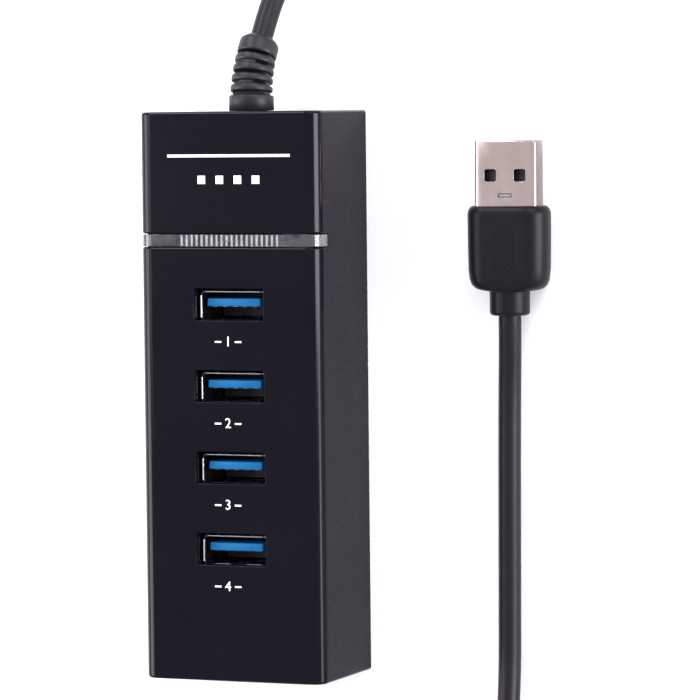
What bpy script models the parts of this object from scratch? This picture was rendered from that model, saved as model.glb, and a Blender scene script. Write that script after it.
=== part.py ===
"""A four-port USB hub that lies on its back cover, with its lead and plug laid out on the surface.

Run with: blender --background --python part.py
Metres, +Z up. The origin is under the middle of the housing, on the surface that it rests on.
The lead leaves the housing at its +Y end, and the four ports face +Z.
"""

import math

import bmesh
import bpy
from mathutils import Matrix, Vector
from mathutils.geometry import interpolate_bezier

MM = 0.001
GAP = 0.3 * MM  # left between neighbouring pieces

# Housing
HOUSING_WIDTH = 36.0 * MM
HOUSING_LENGTH = 105.0 * MM
HOUSING_HEIGHT = 24.0 * MM
WALL = 1.8 * MM
FRONT_WALL = 1.7 * MM
LONG_EDGE_RADIUS = 2.7 * MM
END_EDGE_RADIUS = 0.5 * MM
SNAP_TAB_WIDTH = 5.0 * MM
SNAP_TAB_THICKNESS = 1.2 * MM
SNAP_TAB_TOP = 5.5 * MM
SNAP_TAB_PITCH = 38.0 * MM
RIB_SPOTS = [y * MM for y in (-36.0, -5.0, 22.0)]
RIB_LENGTH = 18.0 * MM
RIB_THICKNESS = 2.0 * MM

# Ports, numbered from the cable end
PORT_COUNT = 4
FIRST_PORT_Y = 17.1 * MM
PORT_PITCH = 15.05 * MM
WINDOW_WIDTH = 13.8 * MM
WINDOW_DEPTH = 5.9 * MM
SHELL_WIDTH = 13.1 * MM
SHELL_DEPTH = 5.72 * MM
SHELL_OFFSET_Y = -0.45 * MM  # from the middle of the window
SHELL_CORNER_RADIUS = 0.7 * MM
SHEET = 0.3 * MM  # metal of the port and plug shells
TONGUE_WIDTH = 10.6 * MM
TONGUE_THICKNESS = 1.5 * MM
TONGUE_OFFSET_Y = 0.3 * MM  # from the middle of the window
TONGUE_TIP_DEPTH = 2.5 * MM  # below the front face
SEAT_HEIGHT = 4.0 * MM  # insulator block at the foot of a port

# Light guide
GUIDE_Y = 28.85 * MM
GUIDE_WIDTH = 2.2 * MM
GUIDE_WRAP = 4.4 * MM  # how far it reaches down each side
STEM_WIDTH = 20.0 * MM
LED_SPACING = 12.0 * MM
LED_SIZE = (2.0 * MM, 1.4 * MM, 1.2 * MM)

# Board
BOARD_WIDTH = 31.0 * MM
BOARD_START_Y = -47.0 * MM
BOARD_END_Y = 45.0 * MM
BOARD_TOP = 8.0 * MM
BOARD_THICKNESS = 1.6 * MM
POST_RADIUS = 2.2 * MM
POST_BORE_RADIUS = 1.2 * MM
POST_BORE_DEPTH = 9.0 * MM
SCREW_SPOTS = [(x * MM, y * MM) for y in (-42.0, 34.5) for x in (-11.5, 11.5)]
SCREW_HOLE_RADIUS = 1.3 * MM
SCREW_SHANK_RADIUS = 0.85 * MM
SCREW_SHANK_LENGTH = 7.0 * MM
SCREW_TIP_LENGTH = 1.0 * MM
SCREW_HEAD_RADIUS = 1.7 * MM
SCREW_HEAD_HEIGHT = 1.2 * MM

# What stands on the board: the middle of each piece, and its size
CHIP = ((0.0, 36.0 * MM), (7.0 * MM, 7.0 * MM, 0.9 * MM))
CRYSTAL = ((6.5 * MM, 37.0 * MM), (2.5 * MM, 3.2 * MM, 0.8 * MM))
REGULATOR = ((-7.0 * MM, 37.0 * MM), (3.5 * MM, 6.5 * MM, 1.6 * MM))
CAPACITOR_RADIUS = 2.0 * MM
CAPACITOR_HEIGHT = 5.1 * MM
CAPACITOR_X = -10.5 * MM
INPUT_CAPACITOR_Y = 9.5 * MM
OUTPUT_CAPACITOR_Y = -35.5 * MM

# Cord and boot
CORD_RADIUS = 2.1 * MM
CORD_AXIS_HEIGHT = 12.0 * MM
CABLE_TAIL_END_Y = 44.5 * MM
WIRE_RADIUS = 0.35 * MM  # the wires inside the lead
WIRE_SPACING = 2.6 * MM  # where they reach the board
BOOT_FLANGE_THICKNESS = 1.3 * MM
BOOT_NECK_RADIUS = 3.0 * MM
BOOT_COLLAR_RADIUS = 4.2 * MM
BOOT_COLLAR_LENGTH = 2.9 * MM
BOOT_RING_COUNT = 5
BOOT_RING_PITCH = 1.75 * MM
BOOT_RING_GROOVE = 0.75 * MM
BOOT_RING_RADIUS = 3.95 * MM
BOOT_RING_TAPER = 0.05 * MM  # each ring is this much smaller than the one before
BOOT_CAP_LENGTH = 2.3 * MM
BOOT_CAP_RADIUS = 3.75 * MM
BOOT_MOUTH_RADIUS = 2.9 * MM

# Plug
PLUG_X = 47.7 * MM
PLUG_BACK_Y = 14.6 * MM  # where the lead enters the collar
PLUG_COLLAR_LENGTH = 4.5 * MM
PLUG_COLLAR_RADIUS = 3.7 * MM
GRIP_LENGTH = 15.6 * MM
GRIP_WIDTH = 15.6 * MM
GRIP_THICKNESS = 8.2 * MM
GRIP_CORNER_RADIUS = 3.8 * MM
PLUG_WIDTH = 12.0 * MM
PLUG_THICKNESS = 4.5 * MM
PLUG_CORNER_RADIUS = 0.6 * MM
PLUG_EXPOSED = 12.0 * MM
PLUG_HIDDEN = 6.0 * MM  # the shell's length inside the grip
PLUG_TONGUE_THICKNESS = 1.9 * MM
PLUG_TONGUE_HIDDEN = 5.0 * MM
PLUG_TONGUE_SETBACK = 0.4 * MM  # from the mouth, like the next ones
LATCH_HOLE_SIZE = 2.3 * MM
LATCH_HOLE_SPACING = 5.7 * MM
LATCH_HOLE_SETBACK = 6.4 * MM
SMALL_SLOT_SIZE = (2.6 * MM, 0.6 * MM)
SMALL_SLOT_SETBACK = 10.1 * MM

# Coil: the lead makes one and a half turns, one pass lying on the other
COIL_CENTRE = (66.4 * MM, -78.9 * MM)
COIL_RADIUS = 19.6 * MM  # to the middle of the bundle
COIL_BUNDLE_WIDTH = 2 * CORD_RADIUS + 0.2 * MM
COIL_BUNDLE_HEIGHT = 4 * CORD_RADIUS
COIL_BUNDLE_CORNER = 1.8 * MM
COIL_FOOT = 0.9 * MM  # the tie's strap under the coil lifts it by this
TIE_ANGLE = math.radians(-90)
TIE_WIDTH = 4.0 * MM
TIE_STRAP = 0.5 * MM
TIE_SIDE_ROOM = 0.7 * MM  # between the strap and the bundle, on each side


# ---------------------------------------------------------------- helpers


def clear_scene():
    for item in list(bpy.data.objects):
        bpy.data.objects.remove(item, do_unlink=True)


def material(name, color, roughness, metallic=0.0):
    made = bpy.data.materials.new(name)
    made.use_nodes = True
    shader = made.node_tree.nodes["Principled BSDF"]
    shader.inputs["Base Color"].default_value = (*color, 1.0)
    shader.inputs["Roughness"].default_value = roughness
    shader.inputs["Metallic"].default_value = metallic
    return made


def add_object(name, mesh, paint=None):
    made = bpy.data.objects.new(name, mesh)
    bpy.context.scene.collection.objects.link(made)
    if paint:
        mesh.materials.append(paint)
    return made


def mesh_from(bm, name):
    bmesh.ops.recalc_face_normals(bm, faces=bm.faces)
    mesh = bpy.data.meshes.new(name)
    bm.to_mesh(mesh)
    bm.free()
    return mesh


def box_mesh(name, low, high):
    bm = bmesh.new()
    size = Vector(high) - Vector(low)
    middle = (Vector(high) + Vector(low)) / 2
    bmesh.ops.create_cube(bm, size=1.0, matrix=Matrix.LocRotScale(middle, None, size))
    return mesh_from(bm, name)


def box(name, low, high, paint=None):
    return add_object(name, box_mesh(name, low, high), paint)


def cylinder_mesh(name, radius, start, end, sides=24):
    """A cylinder from start to end."""
    start, end = Vector(start), Vector(end)
    axis = end - start
    turn = axis.to_track_quat("Z", "Y").to_matrix().to_4x4()
    place = Matrix.Translation((start + end) / 2) @ turn
    bm = bmesh.new()
    bmesh.ops.create_cone(
        bm,
        cap_ends=True,
        segments=sides,
        radius1=radius,
        radius2=radius,
        depth=axis.length,
        matrix=place,
    )
    return mesh_from(bm, name)


def rounded_outline(width, depth, radius, steps=4):
    """Points round a rectangle with rounded corners, centred on zero."""
    points = []
    for quarter, (side_x, side_y) in enumerate(((1, 1), (-1, 1), (-1, -1), (1, -1))):
        centre = Vector((side_x * (width / 2 - radius), side_y * (depth / 2 - radius)))
        for step in range(steps + 1):
            angle = math.radians(90 * (quarter + step / steps))
            points.append(centre + radius * Vector((math.cos(angle), math.sin(angle))))
    return points


def loft_mesh(name, rings):
    """A closed body through rings of equally many points, capped at both ends."""
    bm = bmesh.new()
    made = [[bm.verts.new(point) for point in ring] for ring in rings]
    count = len(made[0])
    for lower, upper in zip(made, made[1:]):
        for k in range(count):
            n = (k + 1) % count
            bm.faces.new((lower[k], lower[n], upper[n], upper[k]))
    bm.faces.new(made[0])
    bm.faces.new(made[-1])
    return mesh_from(bm, name)


def bridge_round(bm, loops):
    """Joins each loop of vertices to the next one, and the last to the first."""
    count = len(loops[0])
    for here, there in zip(loops, loops[1:] + loops[:1]):
        for k in range(count):
            n = (k + 1) % count
            bm.faces.new((here[k], here[n], there[n], there[k]))


def combine(target, mesh, operation="DIFFERENCE"):
    """Cuts the mesh out of the target, or joins it on, with a Boolean modifier."""
    tool = add_object(f"tool_{len(bpy.data.objects)}", mesh)
    tool.hide_render = True
    tool.display_type = "WIRE"
    step = target.modifiers.new(tool.name, "BOOLEAN")
    step.operation = operation
    step.solver = "EXACT"
    step.object = tool


def smooth(target, angle=35):
    target.data.shade_smooth()
    target.data.set_sharp_from_angle(angle=math.radians(angle))


def port_y(number):
    return FIRST_PORT_Y - (number - 1) * PORT_PITCH


# ---------------------------------------------------------------- housing


def housing_block_mesh():
    """The outer block, with its long front edges rounded more than its end edges."""
    half_x, half_y = HOUSING_WIDTH / 2, HOUSING_LENGTH / 2
    bm = bmesh.new()
    place = Matrix.LocRotScale(
        (0, 0, HOUSING_HEIGHT / 2), None, (HOUSING_WIDTH, HOUSING_LENGTH, HOUSING_HEIGHT)
    )
    bmesh.ops.create_cube(bm, size=1.0, matrix=place)

    def edges_where(test):
        return [e for e in bm.edges if all(test(v.co) for v in e.verts)]

    top = HOUSING_HEIGHT - MM
    long_edges = edges_where(lambda co: co.z > top and co.x > half_x - MM)
    long_edges += edges_where(lambda co: co.z > top and co.x < MM - half_x)
    bmesh.ops.bevel(
        bm, geom=long_edges, offset=LONG_EDGE_RADIUS, segments=5, profile=0.5, affect="EDGES"
    )
    ends = [e for e in bm.edges if all(abs(v.co.y) > half_y - MM for v in e.verts)]
    ends = [e for e in ends if max(v.co.z for v in e.verts) > MM]
    ends = [e for e in ends if e.verts[0].co.y * e.verts[1].co.y > 0]
    bmesh.ops.bevel(bm, geom=ends, offset=END_EDGE_RADIUS, segments=3, profile=0.5, affect="EDGES")
    return mesh_from(bm, "front_housing")


def make_front_housing(paint):
    housing = add_object("front_housing", housing_block_mesh(), paint)
    half_x, half_y = HOUSING_WIDTH / 2, HOUSING_LENGTH / 2
    ceiling = HOUSING_HEIGHT - FRONT_WALL
    inner = box_mesh(
        "inner", (WALL - half_x, WALL - half_y, -MM), (half_x - WALL, half_y - WALL, ceiling)
    )
    combine(housing, inner)
    for x, y in SCREW_SPOTS:
        foot = BOARD_TOP + GAP
        post = cylinder_mesh("post", POST_RADIUS, (x, y, foot), (x, y, ceiling + MM), 16)
        combine(housing, post, "UNION")
        bore_end = (x, y, foot + POST_BORE_DEPTH)
        bore = cylinder_mesh("bore", POST_BORE_RADIUS, (x, y, foot - MM), bore_end, 16)
        combine(housing, bore)
    for number in range(1, PORT_COUNT + 1):
        y = port_y(number)
        window = box_mesh(
            "window",
            (-WINDOW_WIDTH / 2, y - WINDOW_DEPTH / 2, ceiling - MM),
            (WINDOW_WIDTH / 2, y + WINDOW_DEPTH / 2, HOUSING_HEIGHT + MM),
        )
        combine(housing, window)
    slot_half = GUIDE_WIDTH / 2 + GAP
    slot = box_mesh(
        "guide_slot",
        (-half_x - MM, GUIDE_Y - slot_half, HOUSING_HEIGHT - GUIDE_WRAP - GAP),
        (half_x + MM, GUIDE_Y + slot_half, HOUSING_HEIGHT + MM),
    )
    combine(housing, slot)
    hole = cylinder_mesh(
        "boot_hole",
        BOOT_NECK_RADIUS + GAP,
        (0, half_y - WALL - MM, CORD_AXIS_HEIGHT),
        (0, half_y + MM, CORD_AXIS_HEIGHT),
        24,
    )
    combine(housing, hole)


def make_bottom_cover(paint):
    """A plate that sits inside the walls, with snap tabs and ribs under the board."""
    half_x = HOUSING_WIDTH / 2 - WALL - GAP
    half_y = HOUSING_LENGTH / 2 - WALL - GAP
    cover = box("bottom_cover", (-half_x, -half_y, 0), (half_x, half_y, WALL), paint)
    board_foot = BOARD_TOP - BOARD_THICKNESS
    for y in RIB_SPOTS:
        low = (-RIB_LENGTH / 2, y - RIB_THICKNESS / 2, WALL / 2)
        high = (RIB_LENGTH / 2, y + RIB_THICKNESS / 2, board_foot - GAP)
        combine(cover, box_mesh("rib", low, high), "UNION")
    for side in (-1, 1):
        ends_x = sorted((side * half_x, side * (half_x - SNAP_TAB_THICKNESS)))
        for y in (-SNAP_TAB_PITCH, 0.0, SNAP_TAB_PITCH):
            low = (ends_x[0], y - SNAP_TAB_WIDTH / 2, WALL / 2)
            high = (ends_x[1], y + SNAP_TAB_WIDTH / 2, SNAP_TAB_TOP)
            combine(cover, box_mesh("snap_tab", low, high), "UNION")


def make_light_guide(paint):
    """A bar across the front with a leg on each side and a stem down to the lamps."""
    half_x = HOUSING_WIDTH / 2
    low_y, high_y = GUIDE_Y - GUIDE_WIDTH / 2, GUIDE_Y + GUIDE_WIDTH / 2
    wrap_foot = HOUSING_HEIGHT - GUIDE_WRAP
    ceiling = HOUSING_HEIGHT - FRONT_WALL
    bm = bmesh.new()
    size = (HOUSING_WIDTH, GUIDE_WIDTH, GUIDE_WRAP)
    centre = (0, GUIDE_Y, HOUSING_HEIGHT - GUIDE_WRAP / 2)
    bmesh.ops.create_cube(bm, size=1.0, matrix=Matrix.LocRotScale(centre, None, size))
    rounded = [
        e
        for e in bm.edges
        if all(v.co.z > wrap_foot + MM for v in e.verts)
        and abs(e.verts[0].co.x - e.verts[1].co.x) < MM
    ]
    bmesh.ops.bevel(
        bm, geom=rounded, offset=LONG_EDGE_RADIUS, segments=5, profile=0.5, affect="EDGES"
    )
    bar = add_object("light_guide_bar", mesh_from(bm, "light_guide_bar"), paint)
    hollow = box_mesh(
        "hollow",
        (WALL - half_x, low_y - MM, wrap_foot - MM),
        (half_x - WALL, high_y + MM, ceiling),
    )
    combine(bar, hollow)
    lamp_top = BOARD_TOP + GAP + LED_SIZE[2]
    stem = box_mesh(
        "stem",
        (-STEM_WIDTH / 2, low_y, lamp_top + GAP),
        (STEM_WIDTH / 2, high_y, ceiling + MM),
    )
    combine(bar, stem, "UNION")


# ---------------------------------------------------------------- board and what it carries


def make_board(paint):
    board = box(
        "circuit_board",
        (-BOARD_WIDTH / 2, BOARD_START_Y, BOARD_TOP - BOARD_THICKNESS),
        (BOARD_WIDTH / 2, BOARD_END_Y, BOARD_TOP),
        paint,
    )
    for x, y in SCREW_SPOTS:
        start, end = (x, y, BOARD_TOP - 2 * BOARD_THICKNESS), (x, y, BOARD_TOP + MM)
        combine(board, cylinder_mesh("hole", SCREW_HOLE_RADIUS, start, end, 16))


def make_board_screws(paint):
    """Pan-head self-tapping screws, driven from the back into the housing posts."""
    head_top = BOARD_TOP - BOARD_THICKNESS - GAP
    shank_top = head_top + SCREW_SHANK_LENGTH
    profile = [
        (SCREW_HEAD_RADIUS * 0.8, head_top - SCREW_HEAD_HEIGHT),
        (SCREW_HEAD_RADIUS, head_top - SCREW_HEAD_HEIGHT * 2 / 3),
        (SCREW_HEAD_RADIUS, head_top),
        (SCREW_SHANK_RADIUS, head_top),
        (SCREW_SHANK_RADIUS, shank_top),
        (SCREW_SHANK_RADIUS * 0.3, shank_top + SCREW_TIP_LENGTH),
    ]
    for number, (x, y) in enumerate(SCREW_SPOTS, 1):
        rings = [ring_points((x, y), radius, z, 16) for radius, z in profile]
        screw = add_object(f"board_screw_{number}", loft_mesh("screw", rings), paint)
        smooth(screw)


def ring_points(centre, radius, z, sides):
    return [
        Vector(
            (
                centre[0] + radius * math.cos(math.tau * k / sides),
                centre[1] + radius * math.sin(math.tau * k / sides),
                z,
            )
        )
        for k in range(sides)
    ]


def on_board(name, place, paint):
    """A block soldered to the top of the board."""
    centre, size = place
    foot = BOARD_TOP + GAP
    low = (centre[0] - size[0] / 2, centre[1] - size[1] / 2, foot)
    high = (centre[0] + size[0] / 2, centre[1] + size[1] / 2, foot + size[2])
    return box(name, low, high, paint)


def make_board_parts(chip_paint, metal_paint, lamp_paint):
    on_board("hub_controller_chip", CHIP, chip_paint)
    on_board("crystal", CRYSTAL, metal_paint)
    on_board("voltage_regulator", REGULATOR, chip_paint)
    foot = BOARD_TOP + GAP
    for name, y in (("input_capacitor", INPUT_CAPACITOR_Y), ("output_capacitor", OUTPUT_CAPACITOR_Y)):
        start, end = (CAPACITOR_X, y, foot), (CAPACITOR_X, y, foot + CAPACITOR_HEIGHT)
        can = cylinder_mesh(name, CAPACITOR_RADIUS, start, end, 20)
        smooth(add_object(name, can, metal_paint))
    on_board("status_led_left", ((-LED_SPACING / 2, GUIDE_Y), LED_SIZE), lamp_paint)
    on_board("status_led_right", ((LED_SPACING / 2, GUIDE_Y), LED_SIZE), lamp_paint)


def lift(outline, centre, z):
    return [Vector((centre[0] + p.x, centre[1] + p.y, z)) for p in outline]


def tube_mesh(name, outer, inner, centre, bottom, top):
    """A sheet-metal tube along Z between two outlines, open at both ends."""
    bm = bmesh.new()
    loops = [
        [bm.verts.new(p) for p in lift(outline, centre, z)]
        for outline, z in ((outer, bottom), (outer, top), (inner, top), (inner, bottom))
    ]
    bridge_round(bm, loops)
    return mesh_from(bm, name)


def make_ports(shell_paint, tongue_paint):
    inner_radius = SHELL_CORNER_RADIUS - SHEET
    outer = rounded_outline(SHELL_WIDTH, SHELL_DEPTH, SHELL_CORNER_RADIUS, 3)
    inner = rounded_outline(SHELL_WIDTH - 2 * SHEET, SHELL_DEPTH - 2 * SHEET, inner_radius, 3)
    shell_foot = BOARD_TOP + GAP
    shell_top = HOUSING_HEIGHT - FRONT_WALL - GAP
    for number in range(1, PORT_COUNT + 1):
        middle = (0, port_y(number) + SHELL_OFFSET_Y)
        name = f"port_{number}_shell"
        mesh = tube_mesh(name, outer, inner, middle, shell_foot, shell_top)
        smooth(add_object(name, mesh, shell_paint))
        make_port_tongue(number, middle, shell_foot, tongue_paint)


def make_port_tongue(number, middle, foot, paint):
    """The insulator: a block at the foot of the shell, and the tongue that stands on it."""
    block_x = SHELL_WIDTH / 2 - SHEET - GAP
    block_y = SHELL_DEPTH / 2 - SHEET - GAP
    name = f"port_{number}_tongue"
    seat = box(
        name,
        (-block_x, middle[1] - block_y, foot),
        (block_x, middle[1] + block_y, foot + SEAT_HEIGHT),
        paint,
    )
    centre_y = port_y(number) + TONGUE_OFFSET_Y
    tongue = box_mesh(
        name,
        (-TONGUE_WIDTH / 2, centre_y - TONGUE_THICKNESS / 2, foot + MM),
        (TONGUE_WIDTH / 2, centre_y + TONGUE_THICKNESS / 2, HOUSING_HEIGHT - TONGUE_TIP_DEPTH),
    )
    combine(seat, tongue, "UNION")


# ---------------------------------------------------------------- boot and lead

# The middle line of the boot outside the wall, drooping under the weight of the lead.
BOOT_LINE = [
    Vector((x * MM, y * MM, z * MM))
    for x, y, z in (
        (0.0, 52.5, 12.0),
        (0.0, 55.4, 12.0),
        (0.0, 58.0, 11.6),
        (0.12, 60.7, 10.85),
        (0.32, 63.3, 9.8),
        (0.6, 65.8, 8.6),
    )
]

# Route of the lead from the boot, down to the surface and round to the coil.
HUB_ROUTE = [
    (0.7, 66.6, 8.2),
    (1.3, 71.2, 6.0),
    (2.3, 75.4, 4.1),
    (4.4, 79.6, 2.75),
    (8.2, 83.2, 2.15),
    (13.5, 86.0, 2.1),
    (20.3, 88.0, 2.1),
    (29.0, 89.0, 2.1),
    (39.0, 89.3, 2.1),
    (50.0, 89.3, 2.1),
    (60.0, 89.0, 2.1),
    (68.4, 87.7, 2.1),
    (75.6, 85.0, 2.1),
    (81.4, 80.6, 2.1),
    (85.4, 74.8, 2.1),
    (87.3, 67.5, 2.1),
    (87.8, 57.0, 2.1),
    (87.4, 42.0, 2.1),
    (87.0, 24.0, 2.1),
    (86.7, 6.0, 2.1),
    (86.5, -12.0, 2.1),
    (86.3, -30.0, 2.1),
    (86.0, -48.0, 2.1),
    (86.0, -65.3, 2.1),
]

# Route of the lead from the coil to the plug.
PLUG_ROUTE = [
    (46.8, -65.3, 5.2),
    (46.6, -58.0, 3.6),
    (46.5, -50.0, 2.4),
    (46.5, -40.0, 2.1),
    (46.6, -26.0, 2.1),
    (46.7, -12.0, 2.1),
    (46.9, 0.0, 2.3),
    (47.3, 7.0, 3.1),
    (47.7, 14.3, 4.1),
]


def smooth_line(points, step):
    """Points about a step apart on a smooth curve through the given points, in metres."""
    knots = [Vector(p) for p in points]
    ahead = [2 * knots[-1] - knots[-2]]
    behind = [2 * knots[0] - knots[1]]
    padded = behind + knots + ahead
    line = []
    for k in range(1, len(padded) - 2):
        before, start, end, after = padded[k - 1 : k + 3]
        span = (end - start).length
        out = (end - before).normalized() * span / 3
        into = (after - start).normalized() * span / 3
        pieces = max(1, round(span / step))
        line += interpolate_bezier(start, start + out, end - into, end, pieces + 1)[:-1]
    return line + [knots[-1]]


def cord_tube(name, line, radius, paint, resolution=3):
    curve = bpy.data.curves.new(name, "CURVE")
    curve.dimensions = "3D"
    curve.bevel_depth = radius
    curve.bevel_resolution = resolution
    curve.use_fill_caps = True
    curve.twist_mode = "MINIMUM"
    spline = curve.splines.new("POLY")
    spline.points.add(len(line) - 1)
    for point, place in zip(spline.points, line):
        point.co = (*place, 1.0)
    curve.materials.append(paint)
    made = bpy.data.objects.new(name, curve)
    bpy.context.scene.collection.objects.link(made)
    return made


def make_boot(paint):
    """A flange inside the wall, a neck through it, a collar, rings and an end cap."""
    wall_out = HOUSING_LENGTH / 2
    wall_in = wall_out - WALL
    profile = [
        (wall_in - GAP - BOOT_FLANGE_THICKNESS, BOOT_COLLAR_RADIUS),
        (wall_in - GAP, BOOT_COLLAR_RADIUS),
        (wall_in - GAP, BOOT_NECK_RADIUS),
        (wall_out + GAP, BOOT_NECK_RADIUS),
        (wall_out + GAP, BOOT_COLLAR_RADIUS),
        (wall_out + BOOT_COLLAR_LENGTH, BOOT_COLLAR_RADIUS * 0.99),
    ]
    along = wall_out + BOOT_COLLAR_LENGTH
    for ring in range(BOOT_RING_COUNT):
        outer = BOOT_RING_RADIUS - BOOT_RING_TAPER * ring
        start = along + ring * BOOT_RING_PITCH
        profile.append((start, BOOT_NECK_RADIUS))
        profile.append((start + BOOT_RING_GROOVE, BOOT_NECK_RADIUS))
        profile.append((start + BOOT_RING_GROOVE, outer))
        profile.append((start + BOOT_RING_PITCH, outer))
    cap = along + BOOT_RING_COUNT * BOOT_RING_PITCH
    profile.append((cap + BOOT_CAP_LENGTH * 0.4, BOOT_CAP_RADIUS))
    profile.append((cap + BOOT_CAP_LENGTH, BOOT_MOUTH_RADIUS))
    rings = [boot_ring(distance, radius) for distance, radius in profile]
    boot = add_object("strain_relief_boot", loft_mesh("strain_relief_boot", rings), paint)
    smooth(boot, 30)


def boot_frame(distance):
    """Where the boot's middle line is, and its direction, at a distance along +Y."""
    line = smooth_line(BOOT_LINE, MM)
    travelled = BOOT_LINE[0].y
    if distance <= travelled:
        return Vector((0, distance, CORD_AXIS_HEIGHT)), Vector((0, 1, 0))
    for start, end in zip(line, line[1:]):
        span = (end - start).length
        if distance <= travelled + span:
            return start.lerp(end, (distance - travelled) / span), (end - start).normalized()
        travelled += span
    return line[-1], (line[-1] - line[-2]).normalized()


def boot_ring(distance, radius, sides=20):
    centre, direction = boot_frame(distance)
    side = direction.cross(Vector((0, 0, 1))).normalized()
    up = side.cross(direction)
    return [
        centre
        + radius * math.cos(math.tau * k / sides) * side
        + radius * math.sin(math.tau * k / sides) * up
        for k in range(sides)
    ]


def make_lead(paint, tie_paint):
    diameter = 2 * CORD_RADIUS
    hub_run = [Vector(p) * MM for p in HUB_ROUTE]
    plug_run = [Vector(p) * MM for p in PLUG_ROUTE]
    cord_tube("lead_hub_run", smooth_line(hub_run, 2.5 * diameter), CORD_RADIUS, paint)
    cord_tube("lead_plug_run", smooth_line(plug_run, 2.0 * diameter), CORD_RADIUS, paint)
    make_coil(paint)
    make_tie(tie_paint)


def coil_outline():
    """The section of the coiled bundle: one pass of cord on another, with rounded corners."""
    section = rounded_outline(COIL_BUNDLE_WIDTH, COIL_BUNDLE_HEIGHT, COIL_BUNDLE_CORNER, 3)
    return [(p.x, p.y + COIL_FOOT + COIL_BUNDLE_HEIGHT / 2) for p in section]


def make_coil(paint, sides=40):
    """A turned ring, which the runs of the lead meet on its two sides."""
    outline = coil_outline()
    bm = bmesh.new()
    rings = []
    for k in range(sides):
        angle = math.tau * k / sides
        places = [
            (
                COIL_CENTRE[0] + (COIL_RADIUS + out) * math.cos(angle),
                COIL_CENTRE[1] + (COIL_RADIUS + out) * math.sin(angle),
                up,
            )
            for out, up in outline
        ]
        rings.append([bm.verts.new(place) for place in places])
    bridge_round(bm, rings)
    smooth(add_object("lead_coil", mesh_from(bm, "lead_coil"), paint))


def make_tie(paint):
    """A strap round the coiled bundle."""
    width = COIL_BUNDLE_WIDTH + 2 * (TIE_SIDE_ROOM + TIE_STRAP)
    height = COIL_BUNDLE_HEIGHT + 2 * COIL_FOOT
    outer = rounded_outline(width, height, 1.6 * MM, 3)
    inner = rounded_outline(width - 2 * TIE_STRAP, height - 2 * TIE_STRAP, 1.3 * MM, 3)
    mesh = tube_mesh("cable_tie", outer, inner, (0, 0), -TIE_WIDTH / 2, TIE_WIDTH / 2)
    tie = add_object("cable_tie", mesh, paint)
    radial = Vector((math.cos(TIE_ANGLE), math.sin(TIE_ANGLE), 0))
    along = Vector((-radial.y, radial.x, 0))
    frame = Matrix((radial, Vector((0, 0, 1)), -along)).transposed().to_4x4()
    middle = Vector((*COIL_CENTRE, COIL_FOOT + COIL_BUNDLE_HEIGHT / 2)) + COIL_RADIUS * radial
    tie.matrix_world = Matrix.Translation(middle) @ frame
    smooth(tie)


def make_cable_tail(jacket_paint, wire_paints):
    """The end of the lead inside the housing, and its wires down to the board."""
    start_y = HOUSING_LENGTH / 2 - WALL - BOOT_FLANGE_THICKNESS - 2 * GAP
    end_y = CABLE_TAIL_END_Y
    tail = cylinder_mesh(
        "cable_tail", CORD_RADIUS, (0, start_y, CORD_AXIS_HEIGHT), (0, end_y, CORD_AXIS_HEIGHT), 16
    )
    smooth(add_object("cable_tail", tail, jacket_paint))
    names = ("power_wire", "data_pair", "fast_pair_a", "fast_pair_b", "ground_wire")
    for k, name in enumerate(names):
        spread = (k - 2) * WIRE_SPACING
        line = smooth_line(
            [
                (spread * 0.39, end_y - GAP, CORD_AXIS_HEIGHT),
                (spread * 0.6, end_y - 1.6 * MM, CORD_AXIS_HEIGHT - 0.6 * MM),
                (spread * 0.9, end_y - 2.6 * MM, CORD_AXIS_HEIGHT - 2.2 * MM),
                (spread, end_y - 3.1 * MM, BOARD_TOP + 2 * GAP),
            ],
            1.2 * MM,
        )
        cord_tube(name, line, WIRE_RADIUS, wire_paints[k], 1)


# ---------------------------------------------------------------- plug


def plug_ring(width, thickness, radius, y, steps=4):
    """A rounded rectangle across the plug, at a place along Y."""
    middle = GRIP_THICKNESS / 2
    return [
        Vector((PLUG_X + p.x, y, middle + p.y))
        for p in rounded_outline(width, thickness, radius, steps)
    ]


def make_plug_overmold(paint):
    """A flat grip with a round collar, in one moulding, round the back of the plug shell."""
    back = PLUG_BACK_Y
    grip_start = back + PLUG_COLLAR_LENGTH
    grip_end = grip_start + GRIP_LENGTH
    collar = 2 * PLUG_COLLAR_RADIUS
    round_corner = PLUG_COLLAR_RADIUS * 0.999
    sections = [
        (back, collar - 1.0 * MM, collar - 1.0 * MM, round_corner - 0.5 * MM),
        (back + 0.5 * MM, collar, collar, round_corner),
        (grip_start - 0.2 * MM, collar, collar, round_corner),
        (grip_start, GRIP_WIDTH * 0.7, collar + 0.2 * MM, GRIP_CORNER_RADIUS * 0.9),
        (grip_start + 1.0 * MM, GRIP_WIDTH * 0.9, GRIP_THICKNESS * 0.97, GRIP_CORNER_RADIUS),
        (grip_start + 3.0 * MM, GRIP_WIDTH * 0.98, GRIP_THICKNESS, GRIP_CORNER_RADIUS),
        (grip_end - 1.4 * MM, GRIP_WIDTH, GRIP_THICKNESS, GRIP_CORNER_RADIUS),
        (grip_end - 0.5 * MM, GRIP_WIDTH * 0.98, GRIP_THICKNESS * 0.96, GRIP_CORNER_RADIUS * 0.95),
        (grip_end, GRIP_WIDTH * 0.92, GRIP_THICKNESS * 0.88, GRIP_CORNER_RADIUS * 0.85),
    ]
    rings = [plug_ring(width, thick, radius, y) for y, width, thick, radius in sections]
    grip = add_object("plug_overmold", loft_mesh("plug_overmold", rings), paint)
    socket = loft_mesh(
        "socket",
        [
            plug_ring(PLUG_WIDTH + 2 * GAP, PLUG_THICKNESS + 2 * GAP, PLUG_CORNER_RADIUS + GAP, y, 2)
            for y in (grip_end - PLUG_HIDDEN - GAP, grip_end + MM)
        ],
    )
    combine(grip, socket)
    smooth(grip, 40)


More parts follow.
